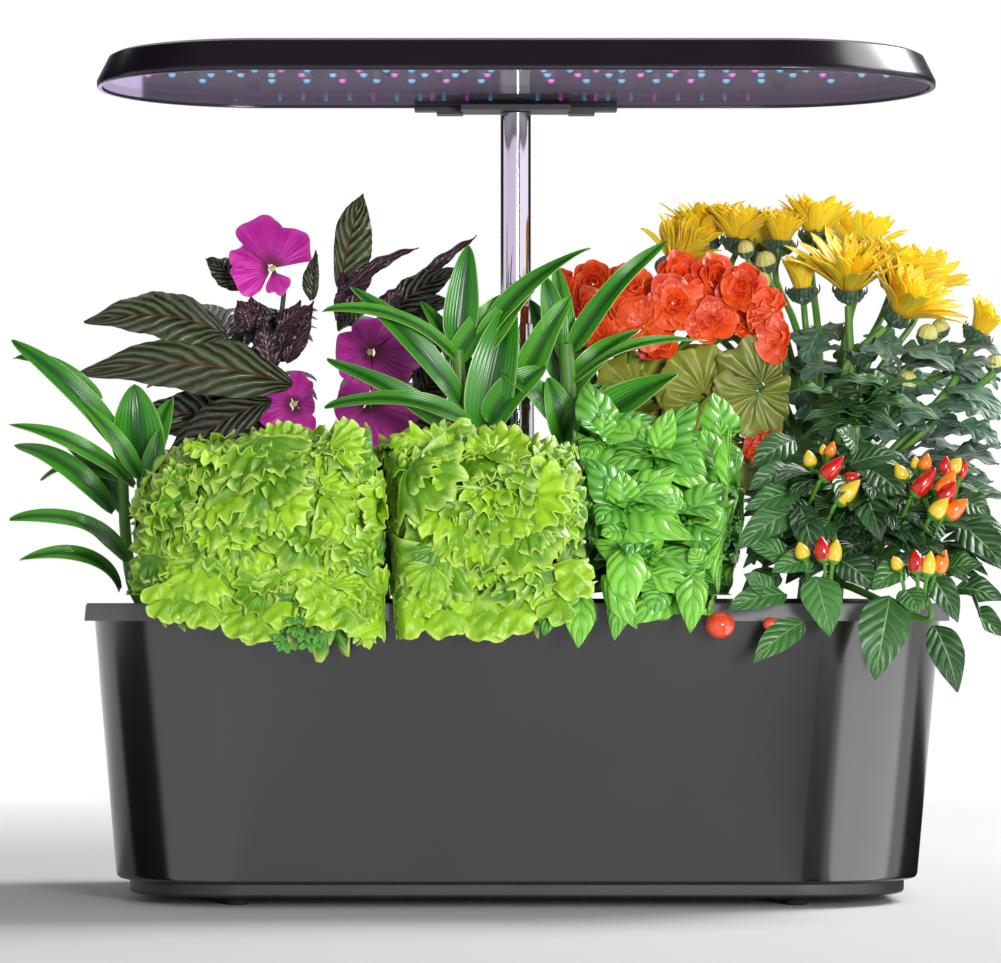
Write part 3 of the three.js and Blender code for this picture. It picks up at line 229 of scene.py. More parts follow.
def finishPiece(piece, node, bevelMm, replace=True):
    # eases the edges, smooths the curves, and gives the piece its finish, body and slot
    if piece.mode == "EDIT":
        bpy.ops.object.mode_set(mode="OBJECT")
    bpy.ops.object.select_all(action="DESELECT")
    bpy.context.view_layer.objects.active = piece
    piece.select_set(True)
    if bevelMm:
        edge = piece.modifiers.new("edge", "BEVEL")
        edge.width = bevelMm * mm
        edge.segments = easing["segments"]
        edge.limit_method = "ANGLE"
        edge.angle_limit = math.radians(easing["fromAngle"])
        edge.use_clamp_overlap = True
        bpy.ops.object.modifier_apply(modifier="edge")
    bpy.ops.object.shade_smooth_by_angle(angle=math.radians(easing["smoothAngle"]))
    even = piece.modifiers.new("even", "WEIGHTED_NORMAL")  # keeps long faces straight beside eased edges
    even.keep_sharp = True
    even.weight = 100
    bpy.ops.object.modifier_apply(modifier="even")
    piece.data.materials.clear()
    piece.data.materials.append(finishes[slotOf[node]])
    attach(piece, bodyOf[node])
    if replace:
        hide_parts(node)
    return piece


mergeMm, flatAngle = 0.01, 0.6  # corners this near are one, and facets this nearly level are one face


def dressNode(node, bevelMm, name=None):
    # a rigid CAD solid with its facets joined into whole faces, its edges eased and its curves smoothed
    mesh = nodes[node].data.copy()
    piece = bpy.data.objects.new(name or f"{node}_moulding", mesh)
    bpy.context.scene.collection.objects.link(piece)
    bpy.ops.object.select_all(action="DESELECT")
    bpy.context.view_layer.objects.active = piece
    piece.select_set(True)
    bpy.ops.object.mode_set(mode="EDIT")
    bpy.ops.mesh.select_mode(type="FACE")
    bpy.ops.mesh.select_all(action="SELECT")
    bpy.ops.mesh.remove_doubles(threshold=mergeMm * mm)
    bpy.ops.mesh.dissolve_limited(angle_limit=math.radians(flatAngle))
    return finishPiece(piece, node, bevelMm)


def copyPiece(piece, name, shift, node, replace=True):
    # a copy with a mesh of its own, moved in its mesh so that its object stays at the origin
    twin = bpy.data.objects.new(name, piece.data.copy())
    bpy.context.scene.collection.objects.link(twin)
    twin.data.transform(Matrix.Translation([value * mm for value in shift]))
    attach(twin, bodyOf[node])
    if replace:
        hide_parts(node)
    return twin


tankPlan = {"width": 386, "depth": 235, "taper": 10, "corner": 58, "cornerSteps": 18, "bottom": 10.5,
            "height": 121.9, "wall": 2.6, "foot": 2.4, "footSteps": 4, "edge": 0.5}


def makeTank():
    plan = tankPlan
    tank = startBlock("tank_shell", (plan["width"], plan["depth"], plan["height"]),
                      (0, 0, plan["bottom"] + plan["height"] / 2))
    roundUprights(tank, plan["corner"], plan["cornerSteps"])
    foot = (plan["bottom"] + 1) * mm
    for axis in (0, 1):
        for side in (-1, 1):
            pick(tank, "VERT", lambda point: point.co.z < foot and point.co[axis] * side > 0)
            lean = [0.0, 0.0, 0.0]
            lean[axis] = -side * plan["taper"] * mm
            bpy.ops.transform.translate(value=lean)
    pickCap(tank, False)
    bpy.ops.mesh.bevel(offset=plan["foot"] * mm, segments=plan["footSteps"], affect="EDGES")
    pickCap(tank, True)
    bpy.ops.mesh.delete(type="FACE")
    bpy.ops.object.mode_set(mode="OBJECT")
    wall = tank.modifiers.new("wall", "SOLIDIFY")
    wall.thickness = plan["wall"] * mm
    wall.offset = -1
    wall.use_even_offset = True
    bpy.ops.object.modifier_apply(modifier="wall")
    finishPiece(tank, "tank", plan["edge"])


plinthPlan = {"width": 354, "depth": 203, "corner": 52, "cornerSteps": 16, "bottom": 4.0, "top": 10.2,
              "chamfer": 1.6, "chamferSteps": 3, "edge": 0.3}


def makePlinth():
    plan = plinthPlan
    plinth = startBlock("plinth_plate", (plan["width"], plan["depth"], plan["top"] - plan["bottom"]),
                        (0, 0, (plan["top"] + plan["bottom"]) / 2))
    roundUprights(plinth, plan["corner"], plan["cornerSteps"])
    pickCap(plinth, False)
    bpy.ops.mesh.bevel(offset=plan["chamfer"] * mm, segments=plan["chamferSteps"], affect="EDGES")
    finishPiece(plinth, "base_plinth", plan["edge"])


feetPlan = {"x": 126, "y": 82, "radius": 5, "sides": 40, "bottom": 0.0, "top": 3.7, "soften": 0.9,
            "softenSteps": 4, "hollowShare": 0.55, "hollow": 0.5, "edge": 0.2}


def makeFeet():
    plan = feetPlan
    first = startRod("foot_pad_front_left", plan["radius"], plan["bottom"], plan["top"],
                     (-plan["x"], -plan["y"]), plan["sides"])
    pickCap(first, False)
    bpy.ops.mesh.bevel(offset=plan["soften"] * mm, segments=plan["softenSteps"], affect="EDGES")
    pickCap(first, False)
    bpy.ops.mesh.inset(thickness=plan["radius"] * plan["hollowShare"] * mm, depth=-plan["hollow"] * mm)
    finishPiece(first, "foot_front_left", plan["edge"])
    for label, right, rear in (("front_right", 1, 0), ("rear_left", 0, 1), ("rear_right", 1, 1)):
        shift = (2 * plan["x"] * right, 2 * plan["y"] * rear, 0)
        copyPiece(first, f"foot_pad_{label}", shift, f"foot_{label}")


lampPlan = {"width": 400, "depth": 160, "corner": 79.6, "cornerSteps": 26, "middleY": 28, "bottom": 381,
            "lip": 0.6, "band": 3.2, "lean": 5.6, "rise": 11.2, "dome": 1.2, "wall": 2.6, "top": 2.4,
            "edge": 0.35, "postX": 128, "postY": 44, "postRadius": 3.2, "postSides": 24, "postGap": 0.3,
            "boreInset": 1.4, "boreDepth": 1.2, "coverGap": 0.3, "coverFrom": 381.8, "coverTo": 383.8,
            "smallEdge": 0.3}


def makeLampHead():
    plan = lampPlan
    low, high = plan["bottom"] + plan["lip"], plan["bottom"] + plan["band"]
    lamp = startBlock("lamp_shell", (plan["width"], plan["depth"], high - low),
                      (0, plan["middleY"], (low + high) / 2))
    roundUprights(lamp, plan["corner"], plan["cornerSteps"])
    pickCap(lamp, True)
    bpy.ops.mesh.inset(thickness=plan["lean"] * mm, depth=plan["rise"] * mm)
    bpy.ops.mesh.inset(thickness=2 * plan["dome"] * mm, depth=plan["dome"] * mm)
    pickCap(lamp, False)
    bpy.ops.mesh.inset(thickness=plan["lip"] * mm, depth=plan["lip"] * mm)
    bpy.ops.mesh.inset(thickness=(plan["wall"] - plan["lip"]) * mm, depth=0)
    bpy.ops.mesh.extrude_region_move(TRANSFORM_OT_translate={"value": (0, 0, plan["band"] * mm)})
    ceiling = plan["rise"] + plan["dome"] - plan["top"]
    bpy.ops.mesh.inset(thickness=plan["lean"] * ceiling / plan["rise"] * mm, depth=-ceiling * mm)
    finishPiece(lamp, "lamp_housing", plan["edge"])

    post = startRod("lamp_post_1", plan["postRadius"], plan["coverTo"] + plan["postGap"],
                    plan["bottom"] + plan["band"] + ceiling,
                    (-plan["postX"], plan["middleY"] - plan["postY"]), plan["postSides"])
    pickCap(post, False)
    bpy.ops.mesh.inset(thickness=plan["boreInset"] * mm, depth=-plan["boreDepth"] * mm)
    finishPiece(post, "lamp_housing", plan["smallEdge"], False)
    for i, (right, rear) in enumerate(((1, 0), (0, 1), (1, 1))):
        shift = (2 * plan["postX"] * right, 2 * plan["postY"] * rear, 0)
        copyPiece(post, f"lamp_post_{i + 2}", shift, "lamp_housing", False)

    away = plan["wall"] + plan["coverGap"]
    cover = startBlock("cover_sheet", (plan["width"] - 2 * away, plan["depth"] - 2 * away,
                                       plan["coverTo"] - plan["coverFrom"]),
                       (0, plan["middleY"], (plan["coverTo"] + plan["coverFrom"]) / 2))
    roundUprights(cover, plan["corner"] - away, plan["cornerSteps"])
    finishPiece(cover, "clear_cover", plan["smallEdge"])


tubeEdge, tubeSides = 0.35, 72
tubePlans = {  # the node that each belongs to, and its sizes
    "outer_pole_tube": ("outer_pole", {"radius": 9, "wall": 1.2, "bottom": 121.7, "top": 282, "y": 98}),
    "inner_pole_tube": ("inner_pole", {"radius": 7.5, "wall": 1.3, "bottom": 172, "top": 377.6, "y": 98}),
    "pole_clamp": ("outer_pole", {"radius": 11.2, "wall": 2.15, "bottom": 273, "top": 282, "y": 98}),
}


def makeTube(name, node, plan):
    bpy.ops.object.select_all(action="DESELECT")
    bpy.ops.mesh.primitive_cylinder_add(
        vertices=tubeSides, radius=plan["radius"] * mm, depth=(plan["top"] - plan["bottom"]) * mm,
        location=(0, plan["y"] * mm, (plan["top"] + plan["bottom"]) / 2 * mm), end_fill_type="NOTHING")
    tube = bpy.context.object
    tube.name = name
    bpy.ops.object.transform_apply(location=True, rotation=True, scale=True)
    wall = tube.modifiers.new("wall", "SOLIDIFY")
    wall.thickness = plan["wall"] * mm
    wall.offset = -1
    bpy.ops.object.modifier_apply(modifier="wall")
    finishPiece(tube, node, tubeEdge, name.startswith(node))


makeTank()
makePlinth()
makeFeet()
makeLampHead()
for name, (node, plan) in tubePlans.items():
    makeTube(name, node, plan)
print("tank, plinth, feet, lamp head and poles modelled")

# the smaller mouldings, and how far their edges are eased
dressed = {
    "deck": 0.8, "control_panel": 0.5, "button_light": 0.4, "button_pump": 0.4, "control_board": 0.15,
    "filler_lid": 0.6, "lid_pin": 0.2, "power_inlet": 0.4, "pump_housing": 0.8, "pump_strainer": 0.3,
    "pump_impeller": 0.2, "riser_tube": 0.2, "float": 0.6, "pole_socket": 0.8, "lamp_mount": 0.4,
    "led_board": 0.15,
}
for node, bevelMm in dressed.items():
    dressNode(node, bevelMm)

podPlaces = {
    "lettuce_left": (-138, -66), "lettuce_right": (-46, -66), "basil": (46, -66), "pepper": (138, -66),
    "bamboo": (-150, -4), "dracaena": (0, -4), "tomato": (150, -4),
    "impatiens_left": (-138, 58), "impatiens_right": (-46, 58), "begonia": (46, 58),
    "chrysanthemum": (138, 58),
}
basketEdge = 0.3
spongePlan = {"radius": 15.5, "sides": 40, "bottom": 91.8, "top": 137.7, "edge": 1.4, "slit": 5.0,
              "slitSlope": 1.5, "slitDepth": 3.0}


def makeBaskets():
    first = dressNode("basket_basil", basketEdge, "net_basil")
    x, y = podPlaces["basil"]
    for pod, (podX, podY) in podPlaces.items():
        if pod != "basil":
            copyPiece(first, f"net_{pod}", (podX - x, podY - y, 0), f"basket_{pod}")


def makeSponges():
    plan = spongePlan
    x, y = podPlaces["basil"]
    first = startRod("foam_basil", plan["radius"], plan["bottom"], plan["top"], (x, y), plan["sides"])
    pickCap(first, True)
    bpy.ops.mesh.inset(thickness=(plan["radius"] - plan["slit"]) * mm, depth=0)
    bpy.ops.mesh.inset(thickness=plan["slitSlope"] * mm, depth=-plan["slitDepth"] * mm)
    finishPiece(first, "sponge_basil", plan["edge"])
    for pod, (podX, podY) in podPlaces.items():
        if pod != "basil":
            foam = copyPiece(first, f"foam_{pod}", (podX - x, podY - y, 0), f"sponge_{pod}")


makeBaskets()
makeSponges()
print("mouldings, baskets and sponges finished")


def leafSkin(name, look):
    # a living leaf or petal: waxy skin drawn down over its veins; map u runs across, v from stalk to tip
    material, tree = startMaterial(name)
    place = addNode(tree, "TexCoord").outputs["Object"]
    parts = addNode(tree, "SeparateXYZ", links={0: addNode(tree, "UVMap", {"uv_map": "leafMap"})})
    side = addNode(tree, "Math", {"operation": "MULTIPLY_ADD", 1: 2.0, 2: -1.0}, {0: parts.outputs["X"]})
    across = addNode(tree, "Math", {"operation": "ABSOLUTE"}, {0: side})
    along = parts.outputs["Y"]
    tone = addNode(tree, "Attribute", {"attribute_name": "tone"}).outputs["Fac"]
    mottleScale = 1 / (look.get("mottleMm", 9) * mm)
    mottle = addNode(tree, "TexNoise", {"Scale": mottleScale, "Detail": 3.0}, {"Vector": place})
    # the leaf's own tone, random from leaf to leaf, and lowered as painted shade for leaves set deep in a
    # plant
    toneAndShade = addNode(tree, "Math", {"operation": "MULTIPLY_ADD", 1: 0.9, 2: -0.35}, {0: tone})
    sharing = {"operation": "MULTIPLY_ADD", 1: 0.8, "use_clamp": True}
    share = addNode(tree, "Math", sharing, {0: mottle, 2: toneAndShade})
    tint = {"data_type": "RGBA", 6: hexColour(look["dark"]), 7: hexColour(look["light"])}
    colour = addNode(tree, "Mix", tint, {0: share})
    height = addNode(tree, "Math", {"operation": "MULTIPLY", 1: 0.12}, {0: mottle})
    smooth = {"interpolation_type": "SMOOTHSTEP"}
    layers = []  # each colour that lies over the leaf's own and where it shows, the lowest first
    if "sideVeins" in look:
        phase = addNode(tree, "Math", {"operation": "MULTIPLY", 1: look["sideVeins"]}, {0: along})
        slope = {"operation": "MULTIPLY_ADD", 1: -look["veinSlope"]}
        phase = addNode(tree, "Math", slope, {0: across, 2: phase})
        drift = addNode(tree, "TexNoise", {"Scale": 1 / (7 * mm), "Detail": 1.0}, {"Vector": place})
        phase = addNode(tree, "Math", {"operation": "MULTIPLY_ADD", 1: 0.4}, {0: drift, 2: phase})
        # 0 on a vein, and 0.5 half-way between two
        ridge = addNode(tree, "Math", {"operation": "PINGPONG", 1: 0.5}, {0: phase})
        vein = {**smooth, "From Max": 0.11, "To Min": 1.0, "To Max": 0.0}
        onVein = addNode(tree, "MapRange", vein, {"Value": ridge})
        dying = {**smooth, "From Min": 0.6, "From Max": 1.0, "To Min": look["veinShow"], "To Max": 0.0}
        fading = addNode(tree, "MapRange", dying, {"Value": across})
        onVein = addNode(tree, "Math", {"operation": "MULTIPLY"}, {0: onVein, 1: fading})
        layers.append(("vein", onVein))
        arc = addNode(tree, "Math", {"operation": "MULTIPLY", 1: math.pi}, {0: ridge})
        swell = addNode(tree, "Math", {"operation": "SINE"}, {0: arc})
        rise = {"operation": "MULTIPLY_ADD", 1: look.get("swell", 0.8)}
        height = addNode(tree, "Math", rise, {0: swell, 2: height})
        if "bulge" in look:
            # a paler colour on the domes between the veins: a painted highlight
            bulge = {"From Min": 0.35, "From Max": 1.0, "To Max": look["bulgeShow"]}
            layers.append(("bulge", addNode(tree, "MapRange", bulge, {"Value": swell})))
    if "lines" in look:
        count = {"operation": "MULTIPLY", 1: look["lines"] * math.tau}
        turns = addNode(tree, "Math", count, {0: parts.outputs["X"]})
        line = addNode(tree, "Math", {"operation": "SINE"}, {0: turns})
        streak = {"From Min": -0.6, "To Max": look["lineShow"]}
        layers.append(("light", addNode(tree, "MapRange", streak, {"Value": line})))
        rise = {"operation": "MULTIPLY_ADD", 1: look.get("lineRise", 0.25)}
        height = addNode(tree, "Math", rise, {0: line, 2: height})
    if "stripe" in look:
        drift = addNode(tree, "TexNoise", {"Scale": 1 / (5 * mm), "Detail": 1.0}, {"Vector": place})
        edge = addNode(tree, "Math", {"operation": "MULTIPLY_ADD", 1: 0.12}, {0: drift, 2: across})
        band = {**smooth, "From Min": look["stripeFrom"], "From Max": look["stripeTo"],
                "To Min": look["stripeShow"], "To Max": 0.0}
        layers.append(("stripe", addNode(tree, "MapRange", band, {"Value": edge})))
    if "rib" in look:
        band = {**smooth, "From Min": look["ribWidth"] * 0.4, "From Max": look["ribWidth"],
                "To Min": 1.0, "To Max": 0.0}
        onRib = addNode(tree, "MapRange", band, {"Value": across})
        layers.append(("rib", onRib))
        height = addNode(tree, "Math", {"operation": "MULTIPLY_ADD", 1: -0.7}, {0: onRib, 2: height})
    for part, measure in (("margin", across), ("end", along), ("rim", None)):
        if part in look:
            if measure is None:
                measure = addNode(tree, "Math", {"operation": "MAXIMUM"}, {0: across, 1: along})
            band = {**smooth, "From Min": look[f"{part}From"], "From Max": look.get(f"{part}To", 1.0),
                    "To Max": look[f"{part}Show"]}
            layers.append((part, addNode(tree, "MapRange", band, {"Value": measure})))
    if "foot" in look:
        band = {**smooth, "From Min": look["footFrom"], "From Max": look["footTo"],
                "To Min": 1.0, "To Max": 0.0}
        layers.append(("foot", addNode(tree, "MapRange", band, {"Value": along})))
    for part, where in layers:
        over = {"data_type": "RGBA", 7: hexColour(look[part])}
        colour = addNode(tree, "Mix", over, {0: where, 6: colour})
    relief = {"Distance": look.get("reliefMm", 0.6) * mm, "Strength": look.get("relief", 0.7)}
    closeMaterial(tree, {
        "Roughness": look["rough"], "IOR": 1.45, "Subsurface Weight": look.get("through", 0.12),
        "Subsurface Radius": (0.6, 1.0, 0.2), "Subsurface Scale": 1.2 * mm,
        "Sheen Weight": look.get("sheen", 0.0), "Coat Weight": look.get("coat", 0.0), "Coat Roughness": 0.22,
    }, {
        "Base Color": colour,
        "Normal": addNode(tree, "Bump", relief, {"Height": height}),
    })
    return material


# Foliage: sheets, stems and turned shapes are gathered into one mesh for each piece, in millimetres

def newBunch():
    return {"points": [], "faces": [], "uvs": [], "tones": [], "count": 0}


def gather(bunch, points, faces, uvs, tone):
    bunch["points"].append(points)
    bunch["faces"].append(np.asarray(faces) + bunch["count"])
    bunch["uvs"].append(uvs)
    bunch["tones"].append(np.broadcast_to(tone, len(points)))
    bunch["count"] += len(points)


def makePiece(bunch, name, body, material, sharpAngle=75):
    mesh = bpy.data.meshes.new(name)
    faces = [face for block in bunch["faces"] for face in block.tolist()]
    mesh.from_pydata((np.concatenate(bunch["points"]) * mm).tolist(), [], faces)
    corners = np.empty(len(mesh.loops), dtype=np.int32)
    mesh.loops.foreach_get("vertex_index", corners)
    layer = mesh.uv_layers.new(name="leafMap")
    layer.data.foreach_set("uv", np.concatenate(bunch["uvs"])[corners].ravel())
    tones = mesh.attributes.new("tone", "FLOAT", "POINT")
    tones.data.foreach_set("value", np.concatenate(bunch["tones"]))
    mesh.materials.append(material)
    piece = bpy.data.objects.new(name, mesh)
    bpy.context.scene.collection.objects.link(piece)
    bpy.ops.object.select_all(action="DESELECT")
    bpy.context.view_layer.objects.active = piece
    piece.select_set(True)
    bpy.ops.object.shade_smooth_by_angle(angle=math.radians(sharpAngle))
    piece.select_set(False)
    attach(piece, body)
    return piece


# Each plant keeps to its own upright patch of the plan, so that its pod lifts out freely
reach = {"x": 246, "y": 150, "podX": 138, "poleX": 15.5, "gap": 3, "soft": 0.84}
lip = {"halfWidth": 197.5, "halfDepth": 122, "past": 5, "above": 139.7, "slope": 5.0}
rearEdge = {"y": 84, "above": 169.7}  # the parts behind the rear row stand up to this level
rowsOf = {"front": (-reach["y"], -35), "middle": (-35, 27), "rear": (27, reach["y"])}
farX = reach["x"] / reach["podX"]
poleX = reach["poleX"] / reach["podX"]
cellPlans = {  # row, corners in X as shares of the outer pods' X, middle as shares of that X and of the row
    "lettuce_left": ("front", (-1.29, -0.36, -0.6, -1.29), (-0.87, 0.5)),
    "lettuce_right": ("front", (-0.36, 0.28, 0.15, -0.6), (-0.13, 0.5)),
    "basil": ("front", (0.28, 0.6, 0.8, 0.15), (0.47, 0.5)),
    "pepper": ("front", (0.6, farX, farX, 0.8), (1.12, 0.5)),
    "bamboo": ("middle", (-farX, -0.72, -0.72, -farX), (-1.16, 0.5)),
    "dracaena": ("middle", (-0.72, 0.72, 0.72, -0.72), (0.0, 0.5)),
    "tomato": ("middle", (0.72, farX, farX, 0.72), (1.16, 0.5)),
    "impatiens_left": ("rear", (-farX, -0.66, -0.66, -farX), (-1.09, 0.4)),
    "impatiens_right": ("rear", (-0.66, -poleX, -poleX, -0.66), (-0.38, 0.4)),
    "begonia": ("rear", (poleX, 1.02, 0.2, poleX), (0.38, 0.3)),
    "chrysanthemum": ("rear", (1.02, farX, farX, 0.2), (1.1, 0.45)),
}


softOf = {"lettuce_left": 0.95, "lettuce_right": 0.95, "basil": 0.92}  # dense plants fill their patch


def makeCell(name):
    row, shares, middle = cellPlans[name]
    front, rear = rowsOf[row]
    corners = [(share * reach["podX"], front if i < 2 else rear) for i, share in enumerate(shares)]
    x = middle[0] * reach["podX"]
    y = front + (rear - front) * middle[1]
    normals, reaches = [], []
    for i, (x0, y0) in enumerate(corners):
        x1, y1 = corners[(i + 1) % 4]
        length = math.hypot(x1 - x0, y1 - y0)
        normal = ((y1 - y0) / length, (x0 - x1) / length)
        normals.append(normal)
        reaches.append(normal[0] * (x0 - x) + normal[1] * (y0 - y) - reach["gap"] / 2)
    return {"middle": np.array([x, y]), "normals": np.array(normals), "reaches": np.array(reaches),
            "soft": softOf.get(name, reach["soft"])}


cells = {name: makeCell(name) for name in cellPlans}


def keepInCell(cell, points, hang=True):
    # presses points into the plant's own patch, and keeps leaves off the deck until they are past its lip
    flat = points.reshape(-1, 3).copy()
    offset = flat[:, :2] - cell["middle"]
    share = (offset @ cell["normals"].T / cell["reaches"]).max(axis=1)
    soft = cell["soft"]
    pressed = soft + (1 - soft) * (1 - np.exp(np.minimum(0, soft - share) / (1 - soft)))
    scale = np.where(share > soft, pressed / np.maximum(share, 1e-6), 1.0)
    flat[:, :2] = cell["middle"] + offset * scale[:, None]
    if hang:
        outside = np.maximum(np.abs(flat[:, 0]) - lip["halfWidth"], -flat[:, 1] - lip["halfDepth"])
        floor = lip["above"] - lip["slope"] * np.maximum(0, outside - lip["past"])
        floor = np.where(flat[:, 1] > rearEdge["y"], rearEdge["above"], floor)
        flat[:, 2] = np.maximum(flat[:, 2], floor)
    return flat.reshape(points.shape)


camera = {"x": -7.5, "y": -2100.0, "z": 132.6, "focalPx": 4468.0, "centrePx": 500.5, "horizonPx": 610.0,
          "widePx": 1001, "tallPx": 963, "sensorMm": 36}


def spot(px, py, y):
    # the place that a pixel of the photograph shows, at depth y, in millimetres
    scale = camera["focalPx"] / (y - camera["y"])
    return np.array([(px - camera["centrePx"]) / scale + camera["x"], y,
                     camera["z"] - (py - camera["horizonPx"]) / scale])


def unit(vector):
    vector = np.asarray(vector, dtype=float)
    return vector / max(np.linalg.norm(vector), 1e-9)


def addSheet(bunch, points, thick, uvs, tone):
    # a closed sheet over a grid of points, with its upper face on the side that the rows and columns turn to
    rows, columns = points.shape[:2]
    normal = np.cross(np.gradient(points, axis=1), np.gradient(points, axis=0))
    normal /= np.maximum(np.linalg.norm(normal, axis=2), 1e-9)[:, :, None]
    under = points - normal * thick
    count = rows * columns
    corner = (np.arange(rows - 1)[:, None] * columns + np.arange(columns - 1)[None, :]).ravel()
    top = np.stack([corner, corner + 1, corner + columns + 1, corner + columns], axis=1)
    last = (rows - 1) * columns
    ring = np.array([*range(columns), *range(2 * columns - 1, rows * columns, columns),
                     *range(last + columns - 2, last - 1, -1), *range(last - columns, 0, -columns)])
    after = np.roll(ring, -1)
    rim = np.stack([ring, ring + count, after + count, after], axis=1)
    flat = np.concatenate([points.reshape(-1, 3), under.reshape(-1, 3)])
    faces = np.concatenate([top, top[:, ::-1] + count, rim])
    gather(bunch, flat, faces, np.concatenate([uvs.reshape(-1, 2)] * 2), tone)


# width along a leaf: sin(pi v^place)^round, and at the stalk some share of the width
outlines = {
    "ovate": {"place": 0.72, "round": 0.85, "foot": 0.05},
    "strap": {"place": 0.6, "round": 0.6, "foot": 0.3},
    "ray": {"place": 0.9, "round": 0.5, "foot": 0.35},
}


def growLeaf(bunch, cell, base, tip, width, outline="ovate", face=(0, -0.6, 0.8), arch=0.12, keel=12,
             cup=0.0, wave=0.0, waves=3, droop=0.0, twist=0.0, lobes=0, lobeDepth=0.3, rows=10, columns=6,
             tone=0.5, thick=0.35, hang=True, seed=0, bulge=0.0, bulges=5):
    # a leaf from its stalk to its tip: keeled along the midrib, arching, waved at its rims
    base, tip = np.asarray(base, dtype=float), np.asarray(tip, dtype=float)
    wish = np.linalg.norm(tip - base)
    tip = keepInCell(cell, tip, False)
    axis = tip - base
    length = np.linalg.norm(axis)
    width = width * min(1.0, 0.3 + 0.7 * length / wish)
    face = unit(face)
    v = np.linspace(0, 1, rows + 1)
    u = np.linspace(-1, 1, columns + 1)
    shape = outlines[outline]
    half = np.sin(np.pi * v ** shape["place"]).clip(0) ** shape["round"]
    half = np.maximum(half, shape["foot"] * (1 - v) ** 2)
    if lobes:
        half = half * (1 - lobeDepth * (0.5 + 0.5 * np.cos(2 * np.pi * lobes * v)) * (v < 0.93))
    half = np.maximum(half * width / 2, 0.25)
    rise = face - axis * (face @ axis) / max(length ** 2, 1e-9)
    centre = base + axis * v[:, None] + unit(rise) * (arch * length * 4 * v * (1 - v))[:, None]
    centre[:, 2] -= droop * length * v ** 2
    along = np.gradient(centre, axis=0)
    along /= np.linalg.norm(along, axis=1)[:, None]
    side = np.cross(along, face)
    side /= np.maximum(np.linalg.norm(side, axis=1), 1e-6)[:, None]
    up = np.cross(side, along)
    turn = math.radians(twist) * v
    side, up = (side * np.cos(turn)[:, None] + up * np.sin(turn)[:, None],
                up * np.cos(turn)[:, None] - side * np.sin(turn)[:, None])
    fold = math.radians(keel)
    spread, lift = np.meshgrid(u, v)
    width2 = half[:, None]
    rim = np.abs(spread)
    rimWave = wave * rim ** 1.5 * np.sin(2 * np.pi * (waves * lift + 0.13 * seed) + np.sign(spread) * 0.9)
    between = bulge * np.abs(np.sin(np.pi * (bulges * lift - 1.4 * rim)))
    between = between * np.sin(np.pi * rim) * np.sin(np.pi * lift)
    outward = width2 * spread * math.cos(fold)
    raised = width2 * (rim * math.sin(fold) + cup * rim ** 2) + rimWave + between
    points = centre[:, None, :] + side[:, None, :] * outward[:, :, None]
    points = points + up[:, None, :] * raised[:, :, None]
    points = keepInCell(cell, points, hang)
    addSheet(bunch, points, thick, np.stack([(spread + 1) / 2, lift], axis=-1), tone)


def growFan(bunch, cell, foot, axis, face, radius, spread=62, rings=8, spokes=36, ruffle=3.0, ruffles=7,
            lobe=0.1, lobes=5, teeth=0.0, tooth=17, cup=0.1, curl=0.2, pleat=0.0, pleats=9, rounding=0.12,
            blister=0.0, frillFrom=2.2, tone=0.5, thick=0.4, hang=True, seed=0.0):
    # a fan-shaped leaf or petal about its foot: frilled towards its rim, lobed, and curling over
    foot = np.asarray(foot, dtype=float)
    axis = keepInCell(cell, foot + unit(axis) * radius, False) - foot  # turned away from the patch's edge
    radius = min(radius, np.linalg.norm(axis) + 1.5)
    axis = unit(axis)
    face = unit(face - axis * (np.dot(face, axis)))
    side = np.cross(axis, face)
    angle = np.linspace(-1, 1, spokes + 1)
    r = np.linspace(0, 1, rings + 1) ** 0.8
    a, out = np.meshgrid(angle, r)
    turn = np.radians(spread) * a
    rimShape = 1 + lobe * np.cos(2 * np.pi * lobes * (a + 1) / 2 + seed)
    rimShape = rimShape + 0.5 * lobe * np.sin(3.7 * a * lobes + 2 * seed)
    rimShape = rimShape + teeth * np.abs(np.sin(np.pi * tooth * a + seed)) - rounding * np.abs(a) ** 3
    length = radius * (0.06 + 0.94 * out * (1 + (rimShape - 1) * out ** 2))
    flatX = length * np.sin(turn)
    flatY = length * np.cos(turn)
    waves = np.sin(np.pi * ruffles * a + 1.7 * seed) + 0.25 * np.sin(2.3 * np.pi * ruffles * a + seed)
    frill = ruffle * out ** frillFrom * waves
    raised = cup * radius * np.abs(a) ** 2 * out - curl * radius * out ** 3 + frill
    raised = raised + pleat * np.abs(np.sin(np.pi * pleats * (a + 1) / 2)) * np.sin(np.pi * out) ** 0.5
    bumps = np.sin(flatX * 0.83 + 3 * seed) * np.sin(flatY * 0.71 + 5 * seed)
    bumps = bumps + 0.6 * np.sin(flatX * 0.5 - flatY * 0.9 + seed)
    raised = raised + blister * bumps * out
    points = foot + side * flatX[:, :, None] + axis * flatY[:, :, None] + face * raised[:, :, None]
    points = keepInCell(cell, points, hang)
    # the tone darkens toward the fan's foot, deep among the other leaves, as painted shade, and lightens
    # toward its rim as painted light
    shade = np.concatenate([(tone + 0.25 * (out.ravel() - 0.6))] * 2)
    addSheet(bunch, points, thick, np.stack([(a + 1) / 2, out], axis=-1), shade)


def smoothPath(points, steps):
    # Catmull-Rom curve through the points
    points = np.asarray(points, dtype=float)
    padded = np.vstack([2 * points[0] - points[1], points, 2 * points[-1] - points[-2]])
    path = []
    for i in range(len(points) - 1):
        p0, p1, p2, p3 = padded[i:i + 4]
        for t in np.linspace(0, 1, steps, endpoint=False):
            path.append(0.5 * (2 * p1 + (p2 - p0) * t + (2 * p0 - 5 * p1 + 4 * p2 - p3) * t ** 2
                               + (3 * p1 - p0 - 3 * p2 + p3) * t ** 3))
    path.append(points[-1])
    return np.array(path)


